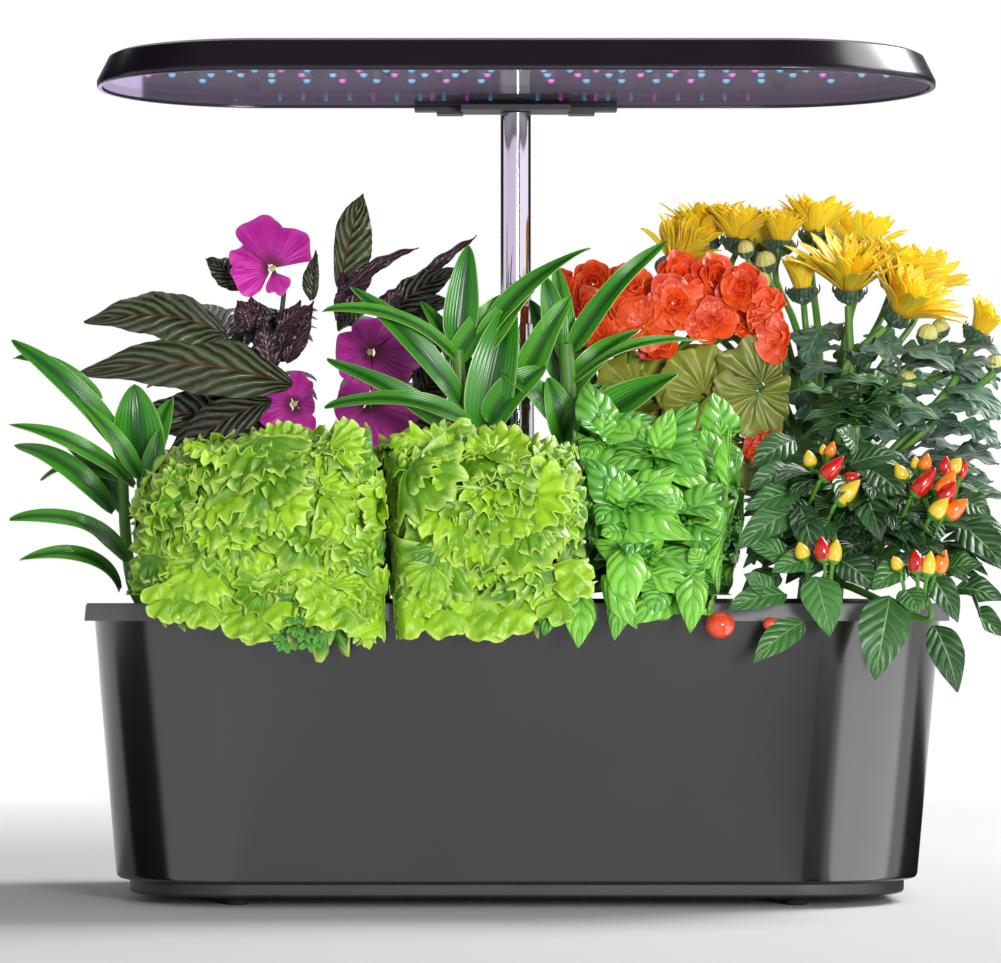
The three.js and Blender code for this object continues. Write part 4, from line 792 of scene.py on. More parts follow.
def addTube(bunch, path, radii, sides=8, tone=0.5):
    path = np.asarray(path, dtype=float)
    radii = np.broadcast_to(np.asarray(radii, dtype=float), len(path))
    along = np.gradient(path, axis=0)
    along /= np.maximum(np.linalg.norm(along, axis=1), 1e-9)[:, None]
    hint = np.array([1.0, 0, 0]) if abs(along[0][0]) < 0.8 else np.array([0, 1.0, 0])
    first = np.cross(along, hint)
    first /= np.linalg.norm(first, axis=1)[:, None]
    second = np.cross(along, first)
    angle = np.linspace(0, 2 * np.pi, sides, endpoint=False)
    round1, round2 = np.cos(angle)[None, :, None], np.sin(angle)[None, :, None]
    ring = first[:, None, :] * round1 + second[:, None, :] * round2
    points = (path[:, None, :] + ring * radii[:, None, None]).reshape(-1, 3)
    count = len(path)
    level, step = np.meshgrid(np.arange(count - 1), np.arange(sides), indexing="ij")
    a, b = (level * sides + step).ravel(), (level * sides + (step + 1) % sides).ravel()
    uvs = np.stack(np.meshgrid(np.linspace(0, 1, sides), np.linspace(0, 1, count)), axis=-1).reshape(-1, 2)
    start, end = len(points), len(points) + 1
    points = np.vstack([points, path[0], path[-1]])
    uvs = np.vstack([uvs, [0.5, 0.0], [0.5, 1.0]])
    wall = np.stack([a, b, b + sides, a + sides], axis=1)
    turnOf, nextOf = np.arange(sides), (np.arange(sides) + 1) % sides
    last = (count - 1) * sides
    caps = [np.stack([nextOf, turnOf, np.full(sides, start)], axis=1),
            np.stack([turnOf + last, nextOf + last, np.full(sides, end)], axis=1)]
    gather(bunch, points, wall, uvs, tone)
    bunch["faces"] += [cap + bunch["count"] - len(points) for cap in caps]


def turnShape(bunch, base, direction, profile, sides=12, tone=0.5):
    # profile: distance along the axis and radius, from the foot to the tip
    direction = unit(direction)
    path = np.array([np.asarray(base) + direction * distance for distance, _ in profile])
    addTube(bunch, path, [max(radius, 0.05) for _, radius in profile], sides, tone)


stemSteps = 5  # rings from one point of a stem to the next
stemFoot = 132  # the level in the sponges, in mm, at which the stems start
goldenTurn = 2.399963  # the angle from one leaf to the next on many plants, in radians


def plantStem(bunch, cell, points, radius, endRadius, sides=8):
    path = keepInCell(cell, smoothPath(points, stemSteps), False)
    addTube(bunch, path, np.linspace(radius, endRadius, len(path)), sides)


def flatFrame(facing, up=(0, 0, 1)):
    # two directions that lie across the one a shoot or a flower faces
    flatX = unit(np.cross(facing, up))
    return flatX, np.cross(flatX, facing)


# What each kind of leaf, petal and stalk is coloured like, and how its surface feels
looks = {
    # frilled loose-leaf lettuce: thin, watery and blistered, pale at the rims, deep green where it is shaded
    "lettuce": {"dark": "#3a7c0c", "light": "#a6d81e", "vein": "#c4e070", "sideVeins": 0.5, "veinSlope": 2.5,
                "veinShow": 0.1, "rim": "#d2ee70", "rimFrom": 0.84, "rimShow": 0.6, "rough": 0.42,
                "through": 0.2, "mottleMm": 8, "swell": 0.1, "reliefMm": 0.8, "coat": 0.05},
    # basil: bright, with a satin skin that domes up between deep side veins, and a painted highlight on each
    # dome
    "basil": {"dark": "#38961c", "light": "#84d638", "vein": "#3a9a2c", "rib": "#93d66c", "ribWidth": 0.06,
              "sideVeins": 4, "veinSlope": 1.5, "veinShow": 0.3, "bulge": "#b2e88e", "bulgeShow": 0.3,
              "rough": 0.3, "through": 0.18, "mottleMm": 12, "swell": 0.9, "reliefMm": 1.1, "relief": 0.7},
    # ornamental pepper: small dark leaves with a dry gloss
    "pepper": {"dark": "#16391a", "light": "#467f3a", "vein": "#74a060", "rib": "#7fa868", "ribWidth": 0.06,
               "sideVeins": 6, "veinSlope": 1.8, "veinShow": 0.4, "rough": 0.36, "through": 0.1,
               "reliefMm": 0.9},
    # strap leaves: leathery and glossy, lined along their length, with a darker middle and pale edges
    "strap": {"dark": "#1c7a12", "light": "#58b02c", "lines": 12, "lineShow": 0.22, "stripe": "#0c3f12",
              "stripeFrom": 0.18, "stripeTo": 0.62, "stripeShow": 0.75, "margin": "#b4d47c",
              "marginFrom": 0.93, "marginTo": 0.97, "marginShow": 0.7, "rough": 0.25, "through": 0.1,
              "reliefMm": 0.3, "mottleMm": 30},
    # impatiens: dark olive and oily, each strip between two side veins raised, with a painted highlight
    # along it
    "impatiens": {"dark": "#222a16", "light": "#4f5d2a", "vein": "#161a0c", "rib": "#7a4332",
                  "ribWidth": 0.05,
                  "sideVeins": 8, "veinSlope": 2.6, "veinShow": 0.45, "bulge": "#9aa38a", "bulgeShow": 0.24,
                  "rough": 0.2, "through": 0.06, "swell": 1.5, "reliefMm": 1.6, "relief": 1.0, "coat": 0.35},
    # the same plant's young leaves: plum, thin and shiny
    "plum": {"dark": "#241320", "light": "#4a2a3c", "vein": "#8a5a6a", "rib": "#9a5560", "ribWidth": 0.08,
             "sideVeins": 7, "veinSlope": 2.4, "veinShow": 0.35, "rough": 0.24, "through": 0.06,
             "swell": 1.2, "reliefMm": 1.1, "coat": 0.3},
    # impatiens petals: velvety, thin and evenly dyed, with fine creases that run to the rim
    "impatiensFlower": {"dark": "#9c0f86", "light": "#df24b4", "lines": 9, "lineShow": 0.12, "lineRise": 0.3,
                        "end": "#e85ad0", "endFrom": 0.8, "endShow": 0.35, "foot": "#7c0a52",
                        "footFrom": 0.06, "footTo": 0.3, "rough": 0.5, "through": 0.3, "reliefMm": 0.5,
                        "mottleMm": 14, "sheen": 0.2},
    # begonia petals: waxy and crisp, orange inside and pale along the rim
    "begoniaFlower": {"dark": "#d02202", "light": "#ff5a10", "rim": "#ff7c40", "rimFrom": 0.88,
                      "rimShow": 0.35,
                      "foot": "#f87408", "footFrom": 0.1, "footTo": 0.5, "rough": 0.42, "through": 0.2,
                      "mottleMm": 6, "reliefMm": 0.3, "lines": 4, "lineShow": 0.1},
    # begonia leaves: round, pleated along veins that spread from the stalk, olive and half-glossy
    "begonia": {"dark": "#56641c", "light": "#9aa23a", "lines": 5, "lineShow": 0.15, "vein": "#d0d884",
                "sideVeins": 0.5, "veinSlope": 4.5, "veinShow": 0.6, "rim": "#a05a30", "rimFrom": 0.95,
                "rimShow": 0.5, "rough": 0.38, "through": 0.18, "swell": 0.9, "reliefMm": 1.0},
    # chrysanthemum petals: quilled ribbons, deep yellow, with orange-brown at the foot
    "chrysanthemumFlower": {"dark": "#ffc008", "light": "#ffe838", "lines": 3, "lineShow": 0.3,
                            "foot": "#cc600c", "footFrom": 0.03, "footTo": 0.26, "rough": 0.5,
                            "through": 0.28, "reliefMm": 0.3},
    # chrysanthemum leaves and calyx: blue-green under a fine down that dulls them
    "chrysanthemum": {"dark": "#1a3c28", "light": "#4a765a", "vein": "#7f9f80", "rib": "#86a684",
                      "ribWidth": 0.05, "sideVeins": 4, "veinSlope": 1.5, "veinShow": 0.4, "rough": 0.5,
                      "through": 0.1, "reliefMm": 0.8, "sheen": 0.15},
    # tomato leaves: soft and dull, mid green
    "tomato": {"dark": "#1c4a1c", "light": "#4a8a3a", "vein": "#6f9f58", "rib": "#6f9f58", "ribWidth": 0.06,
               "sideVeins": 5, "veinSlope": 1.6, "veinShow": 0.35, "rough": 0.5, "through": 0.12,
               "reliefMm": 0.8},
    # cilantro: thin bright leaflets
    "cilantro": {"dark": "#2f7a2c", "light": "#72bc4c", "sideVeins": 0.5, "vein": "#9ad27a",
                 "veinSlope": 3.5, "veinShow": 0.3, "rough": 0.4, "through": 0.2, "reliefMm": 0.4},
    # green stalks: ribbed and half-glossy
    "stalk": {"dark": "#2f6a1c", "light": "#6aa03a", "lines": 3, "lineShow": 0.3, "rough": 0.4,
              "reliefMm": 0.3},
    "darkStalk": {"dark": "#1c2412", "light": "#3f4a22", "lines": 3, "lineShow": 0.3, "rough": 0.35,
                  "reliefMm": 0.3},
    # bud scales: papery and dull, pale green to cream
    "bud": {"dark": "#9aa84a", "light": "#e8e08a", "lines": 9, "lineShow": 0.5, "rough": 0.6,
            "reliefMm": 0.6},
}
leafFinish = {name: leafSkin(f"{name}Skin", look) for name, look in looks.items()}


def ripeSkin(name, colour, deep, roughness=0.16):
    # a ripe fruit: taut skin under natural wax, with a sharp highlight and a faint cloud in the colour
    material, tree = startMaterial(name)
    place = addNode(tree, "TexCoord").outputs["Object"]
    cloud = addNode(tree, "TexNoise", {"Scale": 1 / (6 * mm), "Detail": 2.0}, {"Vector": place})
    dimple = addNode(tree, "TexNoise", {"Scale": 1 / (2.5 * mm), "Detail": 2.0}, {"Vector": place})
    tint = {"data_type": "RGBA", 6: hexColour(deep), 7: hexColour(colour)}
    closeMaterial(tree, {"Roughness": roughness, "IOR": 1.45, "Coat Weight": 0.4, "Coat Roughness": 0.1,
                         "Subsurface Weight": 0.1, "Subsurface Scale": 2 * mm},
                  {"Base Color": addNode(tree, "Mix", tint, {0: cloud}),
                   "Normal": addNode(tree, "Bump", {"Distance": 0.15 * mm}, {"Height": dimple})})
    return material


fruitFinish = {
    "red": ripeSkin("ripeRedSkin", "#dc1f10", "#a80f0a"),
    "orange": ripeSkin("ripeOrangeSkin", "#f98c12", "#e8600a"),
    "yellow": ripeSkin("paleYellowSkin", "#f2d544", "#dcb41e"),
    "tomato": ripeSkin("tomatoSkin", "#ee5a34", "#dc3f20", 0.1),
}


budPlan = {"turns": np.linspace(0.25, math.pi - 0.15, 9), "sides": 14, "tone": 0.6}


def budOf(bunch, place, direction, radius):
    profile = [(radius * (1 - math.cos(a)), radius * math.sin(a)) for a in budPlan["turns"]]
    foot = np.asarray(place) - unit(direction) * radius
    turnShape(bunch, foot, direction, profile, budPlan["sides"], budPlan["tone"])


lettucePlans = {
    "lettuce_left": {"seed": 3, "middle": (-116, -90, 158), "half": (62, 57, 58), "joined": 1},
    "lettuce_right": {"seed": 8, "middle": (-18, -90, 158), "half": (61, 57, 58), "joined": -1},
}
lettuceCrowd = {"leaves": 210, "heart": (0, -0.6, 0.8), "square": 2.9, "joinedSquare": 5.0,
                "spread": (70, 100), "radius": (12, 20), "ruffle": (1.3, 2.6), "lean": (20, 66)}
# where the sheets that close the seam stand: from X to X, at Y, in mm
lettuceSeams = {"lettuce_left": (-56, -84, -136), "lettuce_right": (-16, -60, -124)}
lettuceLobes = {  # rounded ends that hang over the lip: pixel of the tip, width in px
    "lettuce_left": [(162, 620, 26), (184, 620, 24), (203, 627, 30), (238, 638, 34), (262, 642, 36),
                     (285, 626, 28), (314, 626, 32), (338, 630, 28)],
    "lettuce_right": [(352, 640, 34), (381, 641, 34), (410, 637, 36), (449, 636, 34), (484, 640, 36),
                      (520, 634, 36), (552, 622, 28), (575, 598, 28)],
}


def lettuceHead(name):
    plan = lettucePlans[name]
    crowd = lettuceCrowd
    rng = random.Random(plan["seed"])
    cell = cells[name]
    upper, lower, shadeFill = newBunch(), newBunch(), newBunch()
    crown = np.array([*podPlaces[name], 139.0])
    middle, half = np.array(plan["middle"], dtype=float), np.array(plan["half"], dtype=float)
    heart = unit(crowd["heart"])
    first = unit(np.cross(heart, [1, 0, 0]))
    second = np.cross(heart, first)
    for i in range(crowd["leaves"]):
        share = (i + 0.5) / crowd["leaves"]
        away = math.acos(1 - 1.7 * share)  # angle from the heart
        turn = i * goldenTurn + rng.uniform(-0.3, 0.3)
        tangent = first * math.cos(turn) + second * math.sin(turn)
        direction = heart * math.cos(away) + tangent * math.sin(away)
        if direction[2] < -0.45:
            continue
        square = crowd["joinedSquare"] if direction[0] * plan["joined"] > 0 else crowd["square"]
        k = 1 / (np.abs(direction) ** square).sum() ** (1 / square)
        place = middle + half * direction * k * rng.uniform(0.86, 1.0)
        if (cell["normals"] @ (place[:2] - cell["middle"]) / cell["reaches"]).max() > 1.05:
            continue
        normal = unit(np.sign(direction) * np.abs(direction * k) ** (square - 1) / half + direction * 0.006)
        outward = tangent * math.cos(away) - heart * math.sin(away)
        outward = unit(outward - normal * (outward @ normal))
        swerve = rng.gauss(0, 0.75)
        outward = outward * math.cos(swerve) + np.cross(normal, outward) * math.sin(swerve)
        lean = math.radians(rng.uniform(*crowd["lean"]))
        axis = outward * math.cos(lean) + normal * math.sin(lean)
        face = normal * math.cos(lean) - outward * math.sin(lean)
        radius = rng.uniform(*crowd["radius"])
        foot = place - axis * radius * 0.7 - normal * 3
        own = dict(cell, reaches=cell["reaches"] * rng.uniform(0.84, 1.0))  # so that no two end in one line
        growFan(upper if place[2] > 172 else lower, own, foot, axis, face, radius,
                spread=rng.uniform(*crowd["spread"]), ruffle=rng.uniform(*crowd["ruffle"]),
                ruffles=rng.choice((6, 7, 8)), lobe=0.09, lobes=rng.choice((6, 7, 9)), teeth=0.0,
                frillFrom=2.6, cup=rng.uniform(0, 0.25), curl=rng.uniform(-0.1, 0.45),
                blister=rng.uniform(0.8, 1.4), rings=8, spokes=44, tone=rng.uniform(0.1, 1.0), thick=0.4,
                seed=rng.uniform(0, 6.3))
        if i % 3:  # a leaf beneath, toned darker as painted shade, which shows in the gaps
            under = place - normal * 11 + outward * rng.uniform(-6, 6)
            growFan(shadeFill, cell, under - outward * 12, outward + normal * 0.3, normal, 25, spread=75,
                    ruffle=2.5, ruffles=7, blister=1.2, teeth=0.06, rings=6, spokes=36,
                    tone=rng.uniform(-0.1, 0.35), seed=i)
    fromX, toX, seamY = lettuceSeams[name]
    for i in range(60):  # frills that face the room where the two heads meet
        place = np.array([rng.uniform(fromX, toX), seamY + rng.uniform(-5, 8), 127 + 1.35 * i])
        axis = unit([rng.uniform(-0.8, 0.8), -0.35, rng.uniform(-0.5, 1.0)])
        own = dict(cell, reaches=cell["reaches"] * rng.uniform(0.84, 1.0))
        radius = rng.uniform(12, 17)
        growFan(upper if place[2] > 172 else lower, own, place - axis * radius * 0.6, axis,
                np.array([0, -0.9, 0.4]), radius, spread=rng.uniform(65, 90), ruffle=rng.uniform(1.3, 2.4),
                ruffles=6, lobe=0.09, lobes=7, curl=rng.uniform(-0.1, 0.4), blister=1.0, rings=8, spokes=40,
                tone=rng.uniform(0.1, 1.0), seed=i * 0.7)
    # a dark-toned core in each head: painted shade that fills the gaps between the leaves
    shadeCore = [(0, 10), (5, 20), (18, 29), (38, 29), (52, 22), (60, 12), (63, 3)]
    for aside in (-16, 16):
        turnShape(shadeFill, np.array([middle[0] + aside, -92, crown[2]]), (0, 0, 1), shadeCore, 22, -0.1)
    for px, py, width in lettuceLobes[name]:
        for step in range(2):
            tip = spot(px + rng.uniform(-3, 3), py - 13 * step, -145 + 5 * step)
            radius = width / 2.28 * rng.uniform(0.62, 0.72) + 4
            axis = unit([rng.uniform(-0.3, 0.3), -0.42 + 0.2 * step, -0.9])
            growFan(lower, cell, tip - axis * radius, axis, np.array([0, -0.9, 0.42]), radius,
                    spread=rng.uniform(62, 80), ruffle=rng.uniform(1.0, 1.8), ruffles=3, lobe=0.05, lobes=3,
                    teeth=0.03, tooth=9, cup=-0.25, curl=0.1, blister=1.0, rounding=0.2, rings=8, spokes=30,
                    tone=rng.uniform(0.4, 0.9), seed=rng.uniform(0, 6.3))
    for bunch, label in ((upper, "upper"), (lower, "lower"), (shadeFill, "shadeFill")):
        piece = makePiece(bunch, f"{name}_{label}_leaves", f"pod_{name}", leafFinish["lettuce"],
                          80)
        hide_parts(f"plant_{name}")


for name in lettucePlans:
    lettuceHead(name)


def cilantroSprig():
    cell = cells["lettuce_left"]
    leaflets, stalks = newBunch(), newBunch()
    foot = spot(306, 600, -118)
    for i, (px, py, radius) in enumerate(((283, 650, 6.0), (278, 640, 4.5), (296, 634, 5.0), (312, 648, 6.5),
                                          (321, 640, 5.0), (305, 640, 5.5), (290, 622, 4.5),
                                          (300, 622, 4.0))):
        tip = spot(px, py, -146)
        axis = unit(tip - foot - np.array([0, 0, 8]))
        growFan(leaflets, cell, tip - axis * radius, axis, np.array([0, -1, 0.2]), radius, spread=58,
                ruffle=0.4, ruffles=3, lobe=0.16, lobes=3, teeth=0.1, tooth=9, curl=0.1, rings=5, spokes=24,
                tone=0.6, seed=i)
        plantStem(stalks, cell, [foot, (foot + tip) / 2 + np.array([0, -6, 6]), tip - axis * radius], 0.8,
                  0.5, 6)
    makePiece(leaflets, "cilantro_leaflets", "pod_lettuce_left", leafFinish["cilantro"])
    makePiece(stalks, "cilantro_stalks", "pod_lettuce_left", leafFinish["stalk"])
    low = newBunch()
    for px, py, y, px2, py2, y2, width, tone in ((581, 592, -128, 579, 648, -147, 16, 0.9),
                                                 (556, 600, -126, 544, 636, -145, 13, -0.2)):
        growLeaf(low, cells["lettuce_right"], spot(px, py, y), spot(px2, py2, y2), width, "ovate",
                 face=(0, -0.85, 0.5), arch=0.12, keel=10, cup=-0.3, bulge=0.7, rows=22, columns=12,
                 tone=tone)
    makePiece(low, "low_basil_leaves", "pod_lettuce_right", leafFinish["basil"])


cilantroSprig()
print("lettuces and the cilantro sprig grown")

basilShoots = [  # pixel and depth of each shoot's middle, size of its largest leaves in mm
    (603, 440, -52, 31), (656, 454, -64, 32), (624, 507, -92, 34), (736, 491, -62, 32), (700, 560, -96, 30),
    (694, 455, -46, 28), (664, 486, -66, 28), (592, 522, -88, 26), (642, 562, -112, 28), (738, 556, -62, 28),
    (722, 446, -46, 28), (580, 474, -62, 26), (684, 520, -92, 30), (668, 598, -126, 24), (614, 474, -60, 28),
    (716, 598, -80, 26), (744, 526, -52, 24),
]
basilLeaves = [  # stalk and tip pixels, depths, width in mm, tone
    (656, 456, -64, 672, 408, -58, 13, 0.9), (656, 456, -66, 712, 494, -72, 15, 0.9),
    (735, 492, -84, 745, 424, -74, 17, 1.0), (716, 470, -62, 703, 428, -54, 15, 0.8),
    (624, 508, -92, 622, 470, -84, 15, 0.9), (628, 518, -94, 694, 540, -104, 17, 1.1),
    (646, 573, -118, 694, 594, -126, 14, 1.0), (728, 532, -100, 744, 596, -116, 16, 0.9),
    (731, 516, -92, 698, 522, -96, 15, 0.8), (746, 506, -96, 792, 488, -96, 12, 0.5),
    (750, 552, -112, 788, 580, -122, 8, 0.7), (625, 508, -92, 674, 500, -90, 13, 0.7),
    (622, 530, -98, 601, 535, -102, 14, 0.9), (600, 440, -52, 572, 462, -62, 15, 0.8),
    (606, 440, -52, 648, 436, -52, 15, 0.8), (603, 440, -52, 606, 412, -46, 13, 0.9),
    (625, 547, -118, 627, 614, -134, 18, 1.1), (598, 575, -122, 637, 629, -138, 15, 0.8),
    (622, 596, -124, 612, 640, -143, 13, 0.5),
    (693, 574, -120, 691, 633, -141, 15, 0.9), (660, 590, -124, 650, 616, -136, 14, 0.4),
    (728, 600, -120, 714, 620, -134, 12, 0.7), (700, 563, -118, 722, 560, -122, 11, 0.9),
    (702, 563, -118, 690, 548, -116, 10, 0.9), (736, 491, -86, 722, 500, -90, 10, 0.9),
]


def basilPlant():
    rng = random.Random(11)
    cell = cells["basil"]
    leaves, stems, flowerBuds = newBunch(), newBunch(), newBunch()
    for i, (px, py, y, size) in enumerate(basilShoots):
        top = keepInCell(cell, spot(px, py, y), False)
        foot = np.array([46 + rng.uniform(-2, 2), -66 + rng.uniform(-2, 2), stemFoot])
        plantStem(stems, cell, [foot, foot + (top - foot) * 0.5 + np.array([0, 0, 12]), top], 1.6, 1.0)
        facing = unit([rng.uniform(-0.25, 0.25), -0.72, 0.7])
        turn = rng.uniform(0, math.pi)
        flatX, flatY = flatFrame(facing)
        for tier, (share, tilt) in enumerate(((1.0, 0.2), (0.9, 0.35), (0.5, 0.75), (0.3, 1.1))):
            for k in range(2):
                angle = turn + tier * math.pi / 2 + k * math.pi + rng.uniform(-0.25, 0.25)
                length = size * share * rng.uniform(0.95, 1.15)
                outward = flatX * math.cos(angle) + flatY * math.sin(angle)
                tip = top + outward * length * math.cos(tilt) + facing * length * math.sin(tilt) * 0.8
                growLeaf(leaves, cell, top + outward * 1.5 - facing * tier * 0.4, tip, length * 0.68,
                         "ovate", face=facing + outward * 0.2, arch=0.14, keel=8, cup=-0.35, wave=0.5,
                         waves=3, bulge=0.6, bulges=4, rows=16, columns=10, tone=rng.uniform(0.0, 1.0),
                         seed=i * 9 + tier * 2 + k)
        for level in (0.3, 0.5, 0.7, 0.85):
            place = foot + (top - foot) * level + np.array([0, 0, 6])
            for k in range(2):
                angle = turn + level * 9 + k * math.pi
                outward = unit([math.cos(angle), math.sin(angle) * 0.8 - 0.3, 0.15])
                growLeaf(leaves, cell, place, place + outward * rng.uniform(26, 36), rng.uniform(16, 21),
                         "ovate", face=(outward[0] * 0.3, -0.5, 0.8), arch=0.14, keel=12, cup=-0.2,
                         droop=0.15, rows=8, columns=6, tone=rng.uniform(-0.5, 0.3), seed=i + k)
        if i < 5:
            for k in range(5):
                where = top + facing * 2.5 + flatX * rng.uniform(-2, 2)
                where = where + flatY * rng.uniform(-2, 2)
                budOf(flowerBuds, where, facing, 1.1)
    for i, (px, py, y, px2, py2, y2, width, tone) in enumerate(basilLeaves):
        growLeaf(leaves, cell, spot(px, py, y - 6), spot(px2, py2, y2 - 6), width, "ovate",
                 face=(0, -0.85, 0.5), arch=0.12, keel=10, cup=-0.3, bulge=0.7, bulges=5, rows=22,
                 columns=12, tone=tone, seed=i)
    piece = makePiece(leaves, "basil_leaves", "pod_basil", leafFinish["basil"])
    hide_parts("plant_basil")
    makePiece(stems, "basil_stems", "pod_basil", leafFinish["stalk"])
    makePiece(flowerBuds, "basil_buds", "pod_basil", leafFinish["bud"])


basilPlant()
print("basil grown")


strapPlans = {
    "bamboo": {
        "seed": 21,
        "leaves": [  # stalk pixel and depth, tip pixel and depth, width in mm, arch, keel, twist
            (118, 445, -6, 4, 340, -14, 13, 0.12, 14, 25), (100, 400, 4, 0, 358, 6, 8, 0.22, 10, 10),
            (134, 486, -10, 0, 424, -20, 10, 0.14, 12, 10), (113, 512, -2, 0, 445, 8, 12, 0.2, 12, 20),
            (140, 465, 0, 134, 384, -6, 27, 0.06, 22, 0), (140, 478, -12, 78, 399, -16, 9, 0.1, 14, 20),
            (146, 470, 4, 172, 398, 4, 16, 0.1, 18, 10), (128, 560, -16, 4, 520, -24, 11, 0.25, 12, 20),
            (120, 590, -6, 20, 560, -26, 10, 0.3, 12, 10), (150, 500, -8, 160, 430, -10, 14, 0.08, 16, 5),
            (130, 520, 10, 60, 440, 16, 10, 0.15, 14, 0), (150, 540, 6, 190, 470, 14, 12, 0.2, 14, 0),
            (125, 480, 10, 40, 480, 18, 11, 0.25, 14, 0), (135, 440, 8, 180, 420, 18, 12, 0.25, 14, 0),
        ],
        "canes": [
            ([(181, 615, -4), (140, 600, -4), (126, 540, -4), (122, 440, -4)], 3.4),
            ([(185, 615, -4), (156, 600, -6), (147, 540, -8), (141, 470, -4)], 3.0),
        ],
    },
    "dracaena": {
        "seed": 22,
        "leaves": [
            (459, 362, -6, 292, 311, -14, 9, 0.22, 14, 10), (461, 405, -10, 351, 287, -12, 13, 0.1, 16, 15),
            (459, 345, -2, 469, 245, -2, 19, 0.03, 30, 5), (456, 362, -4, 520, 292, 0, 15, 0.14, 18, 0),
            (485, 430, -12, 512, 301, -10, 26, 0.08, 24, 5),
            (453, 432, -14, 316, 359, -20, 12, 0.08, 14, 10),
            (474, 424, -18, 308, 408, -22, 11, 0.16, 14, 10), (478, 350, -4, 590, 248, -8, 12, 0.16, 16, 10),
            (484, 352, -8, 534, 290, -12, 16, 0.12, 20, 10), (558, 345, -8, 545, 275, -10, 13, 0.05, 20, 5),
            (524, 385, -8, 571, 296, -12, 16, 0.08, 18, 5), (572, 350, -6, 668, 240, -8, 13, 0.1, 18, 10),
            (490, 424, -16, 546, 366, -18, 20, 0.12, 18, 0), (573, 382, -10, 719, 341, -14, 7, 0.18, 16, 15),
            (576, 444, -16, 679, 374, -20, 23, 0.08, 20, 10),
            (566, 440, -18, 548, 378, -20, 16, 0.1, 20, 10), (572, 484, -22, 721, 479, -26, 9, 0.1, 20, 20),
            (563, 440, -18, 604, 384, -22, 15, 0.18, 14, 30), (566, 360, 4, 556, 262, 6, 12, 0.1, 16, 0),
            (470, 395, 6, 420, 300, 12, 12, 0.15, 16, 0), (556, 420, -12, 500, 372, -20, 14, 0.15, 16, 10),
            (470, 410, 0, 452, 330, 8, 14, 0.1, 18, 0), (566, 400, 6, 640, 330, 14, 13, 0.18, 16, 0),
            (560, 380, 8, 530, 300, 16, 12, 0.1, 16, 0),
        ],
        "canes": [
            ([(517, 615, -4), (480, 520, -8), (466, 450, -8), (458, 350, -6)], 4.0),
            ([(517, 615, -4), (548, 560, -12), (560, 490, -14), (568, 400, -10), (566, 345, -8)], 5.0),
        ],
    },
}


def strapPlant(name, plan):
    rng = random.Random(plan["seed"])
    cell = cells[name]
    leaves, canes = newBunch(), newBunch()
    for i, (px, py, y, px2, py2, y2, wide, arch, keel, twist) in enumerate(plan["leaves"]):
        growLeaf(leaves, cell, spot(px, py, y), spot(px2, py2, y2), wide, "strap", arch=arch, keel=keel,
                 twist=twist, face=(0, -0.75, 0.65), wave=0.8, waves=1.3, rows=26, columns=8,
                 tone=rng.uniform(0.1, 0.9), thick=0.4, seed=i)
    for points, radius in plan["canes"]:
        plantStem(canes, cell, [spot(*point) for point in points], radius, radius * 0.7, 12)
    piece = makePiece(leaves, f"{name}_leaves", f"pod_{name}", leafFinish["strap"])
    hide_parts(f"plant_{name}")
    makePiece(canes, f"{name}_canes", f"pod_{name}", leafFinish["stalk"])


for name, plan in strapPlans.items():
    strapPlant(name, plan)
print("strap plants grown")

pepperLeaves = [  # stalk and tip pixels, depth of each, width in mm, tone
    (863, 488, -112, 881, 541, -124, 17, 0.2), (850, 465, -100, 900, 455, -106, 13, 0.3),
    (792, 512, -112, 735, 550, -128, 16, 0.7), (800, 506, -116, 815, 562, -130, 15, 0.1),
    (786, 594, -128, 722, 610, -142, 15, 1.0), (804, 622, -132, 747, 663, -146, 15, 0.9),
    (815, 576, -132, 829, 636, -143, 19, 1.1), (890, 596, -134, 876, 680, -147, 24, 0.5),
    (934, 626, -130, 963, 692, -146, 17, 0.2), (960, 524, -100, 1006, 571, -112, 19, 0.1),
    (905, 566, -128, 872, 590, -138, 14, 0.8), (944, 570, -118, 982, 565, -126, 13, 0.6),
    (956, 588, -110, 1003, 600, -118, 15, 0.4), (966, 612, -116, 1004, 636, -128, 14, 0.3),
    (840, 560, -126, 876, 590, -136, 17, 0.1), (930, 575, -124, 958, 622, -138, 14, 0.3),
    (905, 590, -132, 920, 614, -142, 14, 0.9), (870, 470, -96, 905, 500, -112, 18, 0.2),
    (935, 520, -106, 905, 550, -120, 20, 0.1), (960, 500, -96, 990, 515, -104, 14, 0.3),
    (770, 470, -70, 812, 462, -84, 15, 0.6), (810, 490, -100, 780, 480, -104, 14, 0.4),
    (830, 520, -118, 812, 545, -126, 14, 0.3), (856, 445, -80, 836, 430, -86, 13, 0.3),
    (800, 492, -104, 745, 510, -112, 14, 0.8), (790, 560, -122, 748, 545, -126, 13, 1.0),
    (812, 560, -128, 772, 572, -136, 13, 1.1), (772, 596, -130, 744, 574, -134, 12, 0.8),
    (795, 440, -80, 750, 468, -90, 16, 0.3), (792, 470, -96, 748, 490, -104, 14, 0.6),
    (786, 530, -108, 750, 526, -116, 15, 0.2), (780, 574, -112, 740, 596, -120, 14, 0.4),
]
